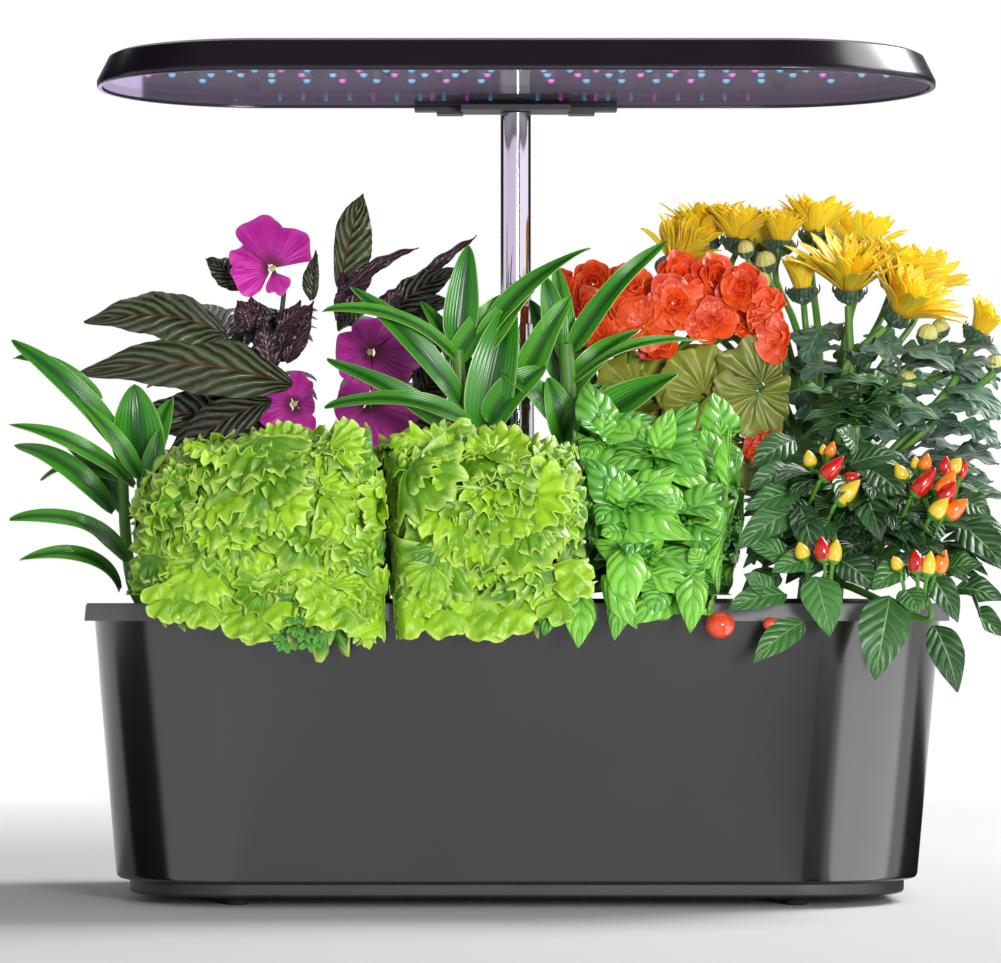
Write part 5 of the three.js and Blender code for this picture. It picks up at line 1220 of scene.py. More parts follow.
pepperFruits = [  # foot and tip pixels, depth, greatest width, colour
    (811, 466, 808, 450, -104, 6.5, "yellow"), (829, 456, 834, 441, -108, 5, "orange"),
    (824, 454, 823, 444, -104, 4, "yellow"), (823, 479, 844, 456, -116, 8, "red"),
    (838, 503, 860, 480, -120, 8, "yellow"), (845, 480, 860, 475, -110, 6, "red"),
    (905, 480, 896, 464, -104, 7, "yellow"), (924, 470, 928, 453, -108, 6, "orange"),
    (916, 468, 915, 456, -104, 4.5, "yellow"), (914, 495, 936, 468, -116, 8, "red"),
    (944, 474, 947, 456, -108, 6, "red"), (951, 471, 961, 458, -106, 7, "yellow"),
    (938, 496, 956, 470, -114, 8, "orange"), (941, 503, 956, 481, -118, 8, "red"),
    (932, 517, 948, 498, -122, 8, "yellow"), (946, 517, 968, 499, -120, 8, "orange"),
    (960, 478, 966, 460, -102, 5, "red"), (824, 560, 821, 536, -136, 8, "red"),
    (833, 562, 837, 539, -137, 7, "yellow"), (804, 558, 799, 542, -134, 7, "yellow"),
    (917, 572, 915, 549, -138, 8, "red"), (927, 575, 931, 551, -139, 7, "yellow"),
    (936, 573, 946, 550, -136, 8, "orange"), (899, 569, 893, 556, -134, 6, "yellow"),
]
pepperBranches = [(833, 500, -104), (925, 500, -104), (830, 575, -124), (925, 590, -124), (880, 520, -90)]
fruitProfile = [(0.0, 0.35), (0.04, 0.7), (0.14, 0.95), (0.3, 1.0), (0.5, 0.92), (0.7, 0.7), (0.87, 0.38),
                (0.96, 0.16), (1.0, 0.03)]


def pepperPlant():
    rng = random.Random(31)
    cell = cells["pepper"]
    leaves, stems = newBunch(), newBunch()
    fruits = {colour: newBunch() for colour in ("red", "orange", "yellow")}
    for i, (px, py, y, px2, py2, y2, width, tone) in enumerate(pepperLeaves):
        growLeaf(leaves, cell, spot(px, py, y), spot(px2, py2, y2), width, "ovate", face=(0, -0.8, 0.55),
                 arch=0.1, keel=14, cup=-0.1, wave=0.6, waves=2, rows=14, columns=8, tone=tone, seed=i)
    middle = np.array([160, -80, 150])
    for i in range(90):  # the mass behind the leaves that the photograph shows one by one
        heading = i * goldenTurn
        level = rng.uniform(0, 1)
        radius = 46 * math.sqrt(rng.uniform(0.15, 1)) * (1 - 0.35 * level)
        place = middle + np.array([radius * math.cos(heading), radius * math.sin(heading) * 0.9,
                                   45 * level - 2])
        outward = unit([math.cos(heading), math.sin(heading) - 0.3, rng.uniform(-0.2, 0.5)])
        growLeaf(leaves, cell, place, place + outward * rng.uniform(20, 34), rng.uniform(12, 18), "ovate",
                 face=outward * 0.3 + np.array([0, -0.5, 0.9]), arch=0.12, keel=14, droop=0.2, rows=8,
                 columns=6, tone=rng.uniform(-0.3, 0.5), seed=i)
    for px, py, px2, py2, y, width, colour in pepperFruits:
        foot = keepInCell(cell, spot(px, py, y), False)
        tip = keepInCell(cell, spot(px2, py2, y - 2), False)
        length = np.linalg.norm(tip - foot)
        up = unit(tip - foot)
        profile = [(length * share, width / 2 * part) for share, part in fruitProfile]
        turnShape(fruits[colour], foot, up, profile, 16, rng.uniform(0.2, 0.8))
        cap = [(-1.6, 0.7), (-0.6, width * 0.3), (0.5, width * 0.42), (1.2, width * 0.46)]
        turnShape(stems, foot, up, cap, 10, 0.6)
        plantStem(stems, cell, [foot - up * 9 + np.array([0, 8, -6]), foot - up * 3, foot], 0.9, 1.0, 6)
    for px, py, y in pepperBranches:
        path = [(138, -66, stemFoot), (145, -72, 145), spot(px, py + 30, y + 12), spot(px, py, y)]
        plantStem(stems, cell, path, 2.2, 1.2)
    piece = makePiece(leaves, "pepper_leaves", "pod_pepper", leafFinish["pepper"])
    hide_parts("plant_pepper")
    makePiece(stems, "pepper_stems", "pod_pepper", leafFinish["stalk"])
    for colour, bunch in fruits.items():
        makePiece(bunch, f"pepper_{colour}_fruit", "pod_pepper", fruitFinish[colour])
    tomatoes = newBunch()
    for px, py, y, radius in ((720, 625, -133, 6.6), (770, 624, -134, 3.2)):
        turns = np.linspace(0.12, math.pi - 0.12, 16)
        profile = [(radius * (1 - 0.93 * math.cos(a)), radius * math.sin(a)) for a in turns]
        turnShape(tomatoes, spot(px, py, y) - np.array([0, 0, radius]), (0, 0, 1), profile, 28, 0.5)
    makePiece(tomatoes, "small_tomatoes", "pod_pepper", fruitFinish["tomato"])


pepperPlant()
print("pepper grown")

impatiensPlans = {
    "impatiens_left": {
        "leaves": [  # stalk and tip pixels, depth of each, width in mm, arch, tone
            (225, 333, 40, 82, 322, 34, 31, 0.14, 0.45), (292, 385, 36, 57, 374, 26, 38, 0.12, 0.5),
            (272, 400, 34, 156, 470, 30, 27, 0.1, -0.1), (243, 288, 60, 206, 258, 64, 17, 0.1, 0.3),
            (312, 300, 66, 330, 250, 70, 13, 0.08, 0.9), (250, 400, 60, 180, 350, 70, 30, 0.1, 0.1),
            (290, 360, 60, 240, 300, 66, 24, 0.1, 0.2), (240, 430, 60, 130, 420, 80, 30, 0.15, 0.0),
            (300, 420, 50, 230, 440, 44, 26, 0.1, 0.0),
        ],
        "young": [
            (262, 345, 56, 250, 296, 60, 16, 0.08, 0.7), (286, 362, 46, 322, 300, 44, 14, 0.08, 0.8),
            (280, 350, 46, 300, 300, 46, 12, 0.08, 0.3), (270, 372, 40, 262, 318, 40, 14, 0.08, 0.2),
            (250, 330, 50, 238, 300, 52, 12, 0.1, 0.5), (276, 330, 42, 310, 306, 40, 12, 0.1, 0.5),
        ],
        # pixel and depth, where it looks, tone, and each petal's angle, length, spread and tone
        "flowers": [
            (272, 268, 44, (0.15, -0.9, 0.3), 0.45, [(105, 27, 36, 0.0), (52, 24, 42, 0.1),
                                                     (200, 19, 44, 0.5), (290, 12, 44, 0.1),
                                                     (155, 20, 36, 0.3)]),
            (294, 404, 38, (0.1, -0.95, 0.2), 0.25, [(75, 15, 46, 0.3), (150, 18, 46, 0.0),
                                                     (215, 17, 46, 0.3), (290, 19, 46, 0.5),
                                                     (5, 14, 46, 0.1)]),
        ],
        "stems": [[(282, 480, 58), (275, 400, 56), (270, 330, 58)]],
    },
    "impatiens_right": {
        "leaves": [
            (338, 290, 66, 362, 193, 70, 25, 0.05, 1.3), (376, 330, 60, 455, 300, 60, 20, 0.12, -0.1),
            (420, 400, 50, 455, 360, 50, 24, 0.12, -0.1), (400, 430, 40, 450, 410, 36, 24, 0.12, 0.0),
            (360, 300, 70, 330, 330, 56, 16, 0.1, 0.6), (420, 420, 60, 470, 440, 60, 28, 0.12, -0.1),
            (385, 318, 48, 459, 268, 46, 20, 0.1, 0.0), (410, 340, 40, 446, 318, 36, 16, 0.1, 0.0),
        ],
        "young": [
            (335, 303, 58, 418, 247, 56, 9, 0.14, 0.4), (399, 305, 52, 493, 234, 50, 8, 0.1, 0.1),
            (345, 305, 64, 376, 262, 66, 12, 0.08, 0.7), (352, 325, 62, 340, 270, 66, 14, 0.1, 0.9),
            (380, 320, 44, 402, 285, 42, 12, 0.1, 0.3), (330, 320, 56, 345, 288, 50, 12, 0.1, 0.4),
        ],
        "flowers": [
            (370, 352, 36, (-0.1, -0.95, 0.2), 0.1, [(172, 18, 48, 0.1), (88, 17, 52, -0.1),
                                                     (12, 25, 48, -0.1), (322, 22, 46, 0.0),
                                                     (235, 17, 46, 0.1)]),
            (366, 402, 32, (-0.1, -0.95, 0.2), 0.3, [(190, 17, 50, 0.4), (120, 15, 44, 0.1),
                                                     (35, 20, 42, 0.2), (335, 26, 42, 0.1),
                                                     (262, 21, 46, 0.2)]),
        ],
        "stems": [[(405, 480, 58), (385, 420, 56), (360, 340, 60), (345, 290, 64)],
                  [(405, 480, 58), (420, 400, 54), (400, 310, 54)]],
    },
}


def impatiensFlower(bunch, eyes, cell, centre, facing, petals, tone):
    facing = unit(facing)
    flatX = unit(np.cross([0, 0, 1], facing)) * -1
    flatX = flatX if flatX[0] > 0 else -flatX
    flatY = np.cross(flatX, facing)
    flatY = flatY if flatY[2] > 0 else -flatY
    for i, (angle, length, spread, own) in enumerate(petals):
        a = math.radians(angle)
        outward = flatX * math.cos(a) + flatY * math.sin(a)
        foot = centre + outward * 0.8 - facing * (0.4 + 0.45 * i)
        growFan(bunch, cell, foot, outward + facing * 0.1, facing, length, spread=spread, rings=12,
                spokes=26, ruffle=1.1, ruffles=3, lobe=0.05, lobes=2, cup=0.1, curl=0.14, rounding=0.3,
                tone=tone + own, hang=False, seed=i + angle * 0.1)
    turnShape(eyes, centre - facing * 0.4, facing, [(0, 1.5), (0.9, 1.5), (1.3, 1.0), (1.5, 0.3)], 14, 0.8)


def impatiensPlant(name, plan):
    rng = random.Random(41)
    cell = cells[name]
    leaves, young, stalks, petals, eyes = newBunch(), newBunch(), newBunch(), newBunch(), newBunch()
    for kind, bunch in (("leaves", leaves), ("young", young)):
        for i, (px, py, y, px2, py2, y2, width, arch, tone) in enumerate(plan[kind]):
            growLeaf(bunch, cell, spot(px, py, y), spot(px2, py2, y2), width, "ovate", face=(0, -0.8, 0.6),
                     arch=arch, keel=8, cup=-0.12, wave=0.7, waves=4, lobes=14, lobeDepth=0.03, bulge=0.9,
                     bulges=8, rows=56, columns=14, tone=tone, thick=0.5, seed=i)
    x, y = podPlaces[name]
    for i in range(26):  # leaves round the back and sides
        heading = rng.uniform(-0.1, math.pi + 0.1)
        place = np.array([x, y, rng.uniform(170, 270)])
        outward = unit([math.cos(heading), math.sin(heading), rng.uniform(-0.1, 0.5)])
        growLeaf(leaves, cell, place + outward * 8, place + outward * rng.uniform(44, 58),
                 rng.uniform(20, 28), "ovate", face=outward * 0.2 + np.array([0, 0, 1]), arch=0.14, keel=10,
                 rows=12, columns=6, tone=rng.uniform(-0.1, 0.6), seed=i)
    for centrePx, centrePy, depth, facing, tone, petalPlan in plan["flowers"]:
        centre = keepInCell(cell, spot(centrePx, centrePy, depth), False)
        impatiensFlower(petals, eyes, cell, centre, facing, petalPlan, tone)
        path = [(x, y, 180), centre + np.array([4, 12, -20]), centre + np.array([0, 3, 0])]
        plantStem(stalks, cell, path, 1.4, 1.0)
    for path in plan["stems"]:
        plantStem(stalks, cell, [(x, y, stemFoot)] + [spot(*point) for point in path], 3.4, 2.0, 10)
    body = f"pod_{name}"
    piece = makePiece(leaves, f"{name}_leaves", body, leafFinish["impatiens"])
    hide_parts(f"plant_{name}")
    makePiece(young, f"{name}_young_leaves", body, leafFinish["plum"])
    makePiece(stalks, f"{name}_stems", body, leafFinish["darkStalk"])
    makePiece(petals, f"{name}_flowers", body, leafFinish["impatiensFlower"])
    makePiece(eyes, f"{name}_eyes", body, leafFinish["bud"])


for name, plan in impatiensPlans.items():
    impatiensPlant(name, plan)
print("impatiens grown")

begoniaBlooms = [  # pixel, depth, radius in mm
    (644, 326, 30, 14), (673, 303, 36, 14), (742, 290, 38, 12), (772, 310, 34, 12), (801, 337, 32, 13),
    (560, 292, 44, 11), (593, 284, 50, 11), (588, 308, 38, 11), (631, 288, 46, 13), (713, 322, 34, 12),
    (680, 277, 56, 12), (598, 334, 34, 10), (772, 446, 32, 11), (714, 278, 54, 12), (655, 345, 40, 10),
    (620, 312, 40, 12), (745, 322, 44, 11), (700, 300, 50, 12),
]
begoniaRings = [(6, 1.0, 0.2), (5, 0.86, 0.55), (5, 0.64, 0.9), (4, 0.42, 1.2)]  # petals, size, tilt
begoniaLeaves = [  # where the stalk joins, tip, depth of each
    (704, 396, 36, 708, 346, 34), (700, 404, 34, 712, 440, 30), (762, 385, 34, 766, 338, 30),
    (764, 392, 30, 772, 436, 28), (640, 395, 44, 600, 372, 42), (640, 392, 50, 655, 360, 50),
    (660, 400, 44, 640, 430, 40), (690, 390, 60, 740, 370, 60), (740, 440, 44, 700, 470, 40),
    (620, 420, 50, 590, 440, 50), (780, 470, 36, 830, 480, 34), (590, 350, 54, 560, 330, 56),
]


def begoniaPlant():
    rng = random.Random(51)
    cell = cells["begonia"]
    leaves, stalks, petals = newBunch(), newBunch(), newBunch()
    hub = np.array([46, 60, 200])
    for i, (px, py, y, radius) in enumerate(begoniaBlooms):
        centre = keepInCell(cell, spot(px, py, y), False)
        facing = unit([rng.uniform(-0.35, 0.35), -0.85, rng.uniform(0.1, 0.55)])
        flatX, flatY = flatFrame(facing)
        for ring, (count, share, tilt) in enumerate(begoniaRings):
            for k in range(count):
                angle = (k + ring * 0.5) * 2 * math.pi / count + rng.uniform(-0.2, 0.2) + i
                outward = flatX * math.cos(angle) + flatY * math.sin(angle)
                size = radius * share * rng.uniform(0.9, 1.1)
                axis = outward * math.cos(tilt) + facing * math.sin(tilt)
                growFan(petals, cell, centre + outward * size * 0.06, axis,
                        facing * math.cos(tilt) - outward * math.sin(tilt), size, spread=rng.uniform(40, 52),
                        rings=6, spokes=12, ruffle=0.45, ruffles=2, lobe=0.03, lobes=2, cup=0.3,
                        curl=rng.uniform(-0.15, 0.2), rounding=0.25, tone=rng.uniform(0.0, 0.9),
                        thick=0.35, hang=False, seed=i + k)
        path = [hub, (hub + centre) / 2 + np.array([0, 4, 14]), centre + np.array([0, 2, -1])]
        plantStem(stalks, cell, path, 1.5, 1.0)
    for i, (px, py, y, px2, py2, y2) in enumerate(begoniaLeaves):
        foot, tip = spot(px, py, y), spot(px2, py2, y2)
        growFan(leaves, cell, foot, tip - foot, (0.1, -0.95, 0.35), np.linalg.norm(tip - foot), spread=125,
                rings=12, spokes=54, ruffle=1.3, ruffles=6, lobe=0.05, lobes=6, teeth=0.03, tooth=18,
                cup=0.12, curl=0.1, pleat=1.5, pleats=9, tone=rng.uniform(0.2, 0.9), hang=False, seed=i)
        plantStem(stalks, cell, [hub + np.array([0, 0, -10]), (hub + foot) / 2, foot], 1.6, 1.0)
    for i in range(26):
        heading = rng.uniform(-0.2, math.pi + 0.2)
        place = np.array([46, 62, rng.uniform(165, 250)])
        outward = unit([math.cos(heading), math.sin(heading), rng.uniform(0, 0.5)])
        growFan(leaves, cell, place + outward * 22, outward, outward * 0.3 + np.array([0, 0, 1]),
                rng.uniform(20, 28), spread=125, rings=7, spokes=30, ruffle=1.2, ruffles=6, lobe=0.05,
                lobes=6, curl=0.15, pleat=1.2, tone=rng.uniform(-0.2, 0.6), seed=i)
    plantStem(stalks, cell, [(46, 58, stemFoot), (48, 58, 170), (50, 60, 215)], 3.4, 2.2, 10)
    plantStem(stalks, cell, [(46, 58, stemFoot), (60, 54, 170), (84, 44, 205)], 3.0, 1.8, 10)
    piece = makePiece(leaves, "begonia_leaves", "pod_begonia", leafFinish["begonia"])
    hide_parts("plant_begonia")
    makePiece(stalks, "begonia_stems", "pod_begonia", leafFinish["stalk"])
    makePiece(petals, "begonia_flowers", "pod_begonia", leafFinish["begoniaFlower"])


begoniaPlant()
print("begonia grown")

chrysanthemumHeads = [  # pixel of the calyx, depth, where the head looks, petal length, opening angle
    (664, 272, 106, (-0.1, -0.6, 0.8), 27, 68), (706, 250, 116, (0.0, -0.1, 1.0), 24, 48),
    (737, 250, 100, (0.1, -0.15, 1.0), 22, 45), (780, 252, 96, (0.1, -0.2, 1.0), 17, 28),
    (815, 245, 104, (0.1, 0.0, 1.0), 22, 40), (850, 300, 78, (0.0, -0.35, 0.95), 32, 52),
    (804, 300, 84, (-0.1, -0.2, 1.0), 17, 20), (892, 290, 100, (0.35, -0.1, 0.95), 24, 50),
    (893, 322, 76, (0.55, -0.35, 0.8), 29, 50), (974, 342, 80, (0.5, -0.2, 0.9), 17, 30),
    (760, 262, 116, (0.0, 0.3, 1.0), 20, 45), (860, 262, 122, (0.1, 0.3, 1.0), 22, 50),
    (920, 300, 124, (0.3, 0.4, 0.9), 22, 50),
]
chrysanthemumBuds = [  # pixel, depth, radius
    (766, 261, 88, 5.3), (762, 281, 84, 4.9), (746, 248, 84, 4.2), (928, 334, 66, 5.2), (907, 381, 50, 5.2),
    (941, 327, 78, 4.4), (996, 363, 74, 4.4), (870, 352, 60, 4.0),
]
chrysanthemumStalks = [
    [(805, 374, 50), (838, 432, 52)], [(849, 306, 60), (849, 425, 56)],
    [(885, 328, 58), (846, 366, 56), (845, 420, 56)], [(895, 393, 46), (855, 442, 48)],
    [(972, 350, 66), (958, 370, 62), (940, 400, 60)], [(995, 373, 64), (925, 430, 56)],
]
chrysanthemumLeaves = [  # stalk and tip pixels, depth of each, width
    (850, 400, 50, 905, 405, 40, 26), (840, 425, 48, 900, 440, 36, 22), (900, 360, 56, 860, 350, 44, 22),
    (950, 395, 60, 1003, 420, 56, 26), (960, 385, 64, 985, 400, 60, 20), (930, 345, 70, 970, 380, 66, 18),
    (880, 420, 46, 945, 415, 40, 24), (800, 390, 60, 830, 440, 46, 24), (820, 330, 66, 805, 365, 56, 22),
    (870, 340, 66, 905, 350, 60, 20), (960, 425, 56, 1003, 445, 52, 20),
]


def chrysanthemumPlant():
    rng = random.Random(61)
    cell = cells["chrysanthemum"]
    leaves, stalks, petals, budBunch, cups = newBunch(), newBunch(), newBunch(), newBunch(), newBunch()
    hub = np.array([150, 70, 185])
    for px, py, y, facing, length, opening in chrysanthemumHeads:
        base = keepInCell(cell, spot(px, py, y), False)
        facing = unit(facing)
        flatX, flatY = flatFrame(facing, (0, 1, 0))
        for ring, (count, share) in enumerate(((20, 1.0), (17, 0.72), (13, 0.42), (8, 0.15))):
            for k in range(count):
                angle = (k + ring * 0.5) * 2 * math.pi / count + rng.uniform(-0.12, 0.12)
                tilt = math.radians(opening * share * rng.uniform(0.85, 1.15))
                outward = flatX * math.cos(angle) + flatY * math.sin(angle)
                direction = facing * math.cos(tilt) + outward * math.sin(tilt)
                size = length * 1.12 * (1.0 - 0.12 * ring) * rng.uniform(0.88, 1.08)
                foot = base + facing * 3.5 + outward * 3.2 * share
                growLeaf(petals, cell, foot, foot + direction * size, rng.uniform(6.0, 8.0), "ray",
                         face=facing * math.sin(tilt) - outward * math.cos(tilt), arch=0.06, keel=16,
                         rows=7, columns=4, tone=rng.uniform(0.1, 0.9), thick=0.3, hang=False, seed=k)
        cup = [(-2.0, 1.6), (-0.5, 4.4), (1.2, 6.2), (3.2, 6.9), (5.2, 6.6), (6.6, 5.4)]
        turnShape(cups, base, facing, cup, 16, 0.4)
        for k in range(22):  # the scales that overlap round the cup
            angle = k * goldenTurn
            outward = flatX * math.cos(angle) + flatY * math.sin(angle)
            foot = base + outward * (5.2 + 1.2 * (k % 3)) + facing * (-0.4 + 1.6 * (k % 3))
            growLeaf(cups, cell, foot, foot + facing * 4.6 + outward * 0.8, 3.0, "ovate", face=outward,
                     arch=0.1, keel=10, rows=4, columns=2, tone=rng.uniform(0.1, 0.7), hang=False)
        root = hub + np.array([rng.uniform(-14, 14), rng.uniform(-8, 8), rng.uniform(-25, 5)])
        path = [root, (hub + base) / 2 + np.array([0, 0, 10]), base - facing * 14, base]
        plantStem(stalks, cell, path, 2.0, 1.5)
    for px, py, y, radius in chrysanthemumBuds:
        centre = keepInCell(cell, spot(px, py, y), False)
        facing = unit([rng.uniform(-0.3, 0.3), -0.4, 0.9])
        budOf(budBunch, centre, facing, radius)
        cup = [(0, 1.2), (1, radius * 0.7), (radius * 0.8, radius * 1.05), (radius * 1.05, radius * 1.02)]
        turnShape(cups, centre - facing * (radius + 1), facing, cup, 12, 0.3)
        path = [hub, (hub + centre) / 2 + np.array([0, 0, 6]), centre - facing * radius]
        plantStem(stalks, cell, path, 1.5, 1.2)
    for path in chrysanthemumStalks:
        plantStem(stalks, cell, [spot(*point) for point in path] + [np.array([140, 60, 165])], 1.9, 2.2)
    middle = np.array([165, 72, 215])
    for i in range(130):
        heading = i * goldenTurn
        radius = rng.uniform(12, 48)
        place = middle + np.array([radius * math.cos(heading), radius * math.sin(heading) * 0.8,
                                   rng.uniform(-60, 50)])
        outward = unit([math.cos(heading), math.sin(heading) * 0.8 - 0.2, rng.uniform(-0.3, 0.5)])
        growLeaf(leaves, cell, place, place + outward * rng.uniform(22, 40), rng.uniform(16, 26), "ovate",
                 face=outward * 0.3 + np.array([0, -0.5, 0.9]), arch=0.1, keel=8, wave=1.0, waves=3, lobes=3,
                 lobeDepth=0.5, droop=0.15, rows=18, columns=6, tone=rng.uniform(-0.2, 1.0), seed=i)
    for i, (px, py, y, px2, py2, y2, width) in enumerate(chrysanthemumLeaves):
        growLeaf(leaves, cell, spot(px, py, y), spot(px2, py2, y2), width, "ovate", face=(0, -0.7, 0.7),
                 arch=0.1, keel=8, wave=1.0, waves=3, lobes=3, lobeDepth=0.5, rows=26, columns=8, tone=0.8,
                 seed=i)
    plantStem(stalks, cell, [(138, 58, stemFoot), (142, 60, 160), hub], 3.4, 2.6, 10)
    body, slotName = "pod_chrysanthemum", "chrysanthemum_flower"
    piece = makePiece(leaves, "chrysanthemum_leaves", body, leafFinish["chrysanthemum"])
    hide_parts("plant_chrysanthemum")
    makePiece(stalks, "chrysanthemum_stems", body, leafFinish["stalk"])
    makePiece(petals, "chrysanthemum_flowers", body, leafFinish["chrysanthemumFlower"])
    makePiece(cups, "chrysanthemum_cups", body, leafFinish["chrysanthemum"])
    makePiece(budBunch, "chrysanthemum_buds", body, leafFinish["bud"])


chrysanthemumPlant()
print("chrysanthemum grown")


def tomatoPlant():
    rng = random.Random(71)
    cell = cells["tomato"]
    leaves, stalks = newBunch(), newBunch()
    x, y = podPlaces["tomato"]
    for i in range(60):
        heading = i * goldenTurn
        place = np.array([x + rng.uniform(-14, 26), y, rng.uniform(150, 236)])
        outward = unit([math.cos(heading), math.sin(heading) * 0.6, rng.uniform(-0.2, 0.5)])
        growLeaf(leaves, cell, place, place + outward * rng.uniform(28, 44), rng.uniform(15, 22), "ovate",
                 face=outward * 0.3 + np.array([0, -0.4, 0.9]), arch=0.12, keel=10, wave=0.8, waves=3,
                 lobes=4, lobeDepth=0.35, droop=0.2, rows=18, columns=6, tone=rng.uniform(-0.2, 0.6), seed=i)
    plantStem(stalks, cell, [(x, y, stemFoot), (x + 4, y, 180), (x + 12, y, 232)], 2.8, 1.6)
    piece = makePiece(leaves, "tomato_leaves", "pod_tomato", leafFinish["tomato"])
    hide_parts("plant_tomato")
    makePiece(stalks, "tomato_stems", "pod_tomato", leafFinish["stalk"])


tomatoPlant()
print("tomato grown")

for node, slotName in slotOf.items():
    if slotName in finishes:
        nodes[node].data.materials.clear()
        nodes[node].data.materials.append(finishes[slotName])

ledPlan = {"level": 386.8, "radius": 1.9, "foot": 388.0,
           "dome": ((0, 1), (0.7, 0.96), (1.4, 0.7), (1.8, 0.25)), "sides": 14, "glow": 1.9,
           "streakY": 103.2, "streakFrom": 384.3, "streakTo": 388.6, "streakHalf": 0.9, "streakThick": 0.3,
           "streakRows": 4, "streakGlow": 0.9, "streakPy": 100}
ledColours = {"cyan": "#22b4ee", "magenta": "#e022d4"}
ledRows = [  # pixel height of the row, the cyan ones, the magenta ones
    (70, (185.7, 228.5, 253.8, 306.6, 385.8, 411.5, 464.8, 491.1, 543.9, 570.2, 622.1, 649.3, 702, 727,
          780.8, 807, 849), (280.3, 358.7, 438.7, 596.5, 676, 755.7)),
    (75, (171.1, 210.2, 240, 271, 332.4, 363.2, 424.5, 455.1, 547.5, 609.2, 670.6, 702, 762, 793.8, 862.8,
          887.5), (146.9, 301.2, 394.3, 487.2, 578.1, 641, 732.9, 823.9)),
    (80.8, (201.6, 271, 306.3, 376.3, 411.5, 481.4, 586.6, 622, 656.8, 727, 762, 831.8),
     (341.9, 446.2, 551.4, 691.4)),
]
streaks = {"cyan": (279.4, 302.8, 325.7, 349.2, 396.8, 420.4, 443.7, 490.5, 537.6, 584.6, 608.4, 631.5,
                    678.6, 702.3, 725.4), "magenta": (373.1, 467, 560.9, 654.8, 748.7, 431.8, 596, 235, 798)}


def litDome(name, colour, glow):
    # a silicone lens over a lit chip: the middle is nearly white, the rim keeps the colour
    material, tree = startMaterial(name)
    facing = addNode(tree, "LayerWeight", {"Blend": 0.35}).outputs["Facing"]
    tint = {"data_type": "RGBA", 6: hexColour("#ffffff"), 7: hexColour(colour)}
    edge = addNode(tree, "MapRange", {"From Max": 0.35, "To Min": 0.45}, {"Value": facing})
    closeMaterial(tree, {"Roughness": 0.25, "Base Color": hexColour(colour), "Emission Strength": glow},
                  {"Emission Color": addNode(tree, "Mix", tint, {0: edge})})
    return material


def fadingGlow(name, colour, glow):
    # light of a chip caught by the lacquered far wall: bright at its foot and gone a few millimetres up
    material, tree = startMaterial(name)
    mapping = addNode(tree, "UVMap", {"uv_map": "leafMap"})
    along = addNode(tree, "SeparateXYZ", links={0: mapping}).outputs["Y"]
    fade = addNode(tree, "MapRange", {"To Min": glow, "To Max": 0.02}, {"Value": along})
    closeMaterial(tree, {"Roughness": 0.3, "Base Color": hexColour("#1f1723"),
                         "Emission Color": hexColour(colour)}, {"Emission Strength": fade})
    return material


def makeLeds():
    plan = ledPlan
    domes = {colour: newBunch() for colour in ledColours}
    for py, cyan, magenta in ledRows:
        y = camera["focalPx"] * (plan["level"] - camera["z"]) / (camera["horizonPx"] - py) + camera["y"]
        for colour, row in (("cyan", cyan), ("magenta", magenta)):
            for px in row:
                x = spot(px, py, y)[0]
                profile = [(level, plan["radius"] * share) for level, share in plan["dome"]]
                turnShape(domes[colour], (x, y, plan["foot"]), (0, 0, -1), profile, plan["sides"])
    for colour, bunch in domes.items():
        finish = litDome(f"{colour}SiliconeLed", ledColours[colour], plan["glow"])
        makePiece(bunch, f"leds_{colour}", "lamp", finish, 50)
    for colour, row in streaks.items():
        bunch = newBunch()
        for px in row:
            x = spot(px, plan["streakPy"], plan["streakY"])[0]
            x0, x1 = x - plan["streakHalf"], x + plan["streakHalf"]
            levels = np.linspace(plan["streakFrom"], plan["streakTo"], plan["streakRows"])
            points = np.array([[(x1, plan["streakY"], z), (x0, plan["streakY"], z)] for z in levels])
            uvs = np.array([[(0, v), (1, v)] for v in np.linspace(0, 1, plan["streakRows"])])
            addSheet(bunch, points, plan["streakThick"], uvs, 0.5)
        finish = fadingGlow(f"{colour}WallGlow", ledColours[colour], plan["streakGlow"])
        makePiece(bunch, f"wall_glow_{colour}", "lamp", finish, 50)


makeLeds()
print("LEDs placed")

stagePlan = {"floorHalf": 3.0, "floorLevel": -0.0002, "whiteFrom": 0.42, "whiteTo": 1.1,
             "floorHex": "#ececee", "frontPaper": 0.95, "worldFill": 0.28, "worldSeen": 1.0, "specular": 0.5}
bpy.ops.object.select_all(action="DESELECT")
bpy.ops.mesh.primitive_plane_add(size=stagePlan["floorHalf"] * 2, location=(0, 0, stagePlan["floorLevel"]))
floor = bpy.context.object
floor.name = "studio_floor"
floorPaint, tree = startMaterial("paleStudioPaper")
place = addNode(tree, "TexCoord").outputs["Object"]
distance = addNode(tree, "VectorMath", {"operation": "LENGTH"}, {0: place}).outputs["Value"]
paper = addNode(tree, "BsdfDiffuse", {"Color": hexColour(stagePlan["floorHex"])})
white = addNode(tree, "Emission", {"Color": (1, 1, 1, 1), "Strength": 1.0})
reachWhite = {"From Min": stagePlan["whiteFrom"], "From Max": stagePlan["whiteTo"]}
toWhite = addNode(tree, "MapRange", reachWhite, {"Value": distance})
mixed = addNode(tree, "MixShader", links={0: toWhite, 1: paper, 2: white})
addNode(tree, "OutputMaterial", links={"Surface": mixed})
floor.data.materials.append(floorPaint)


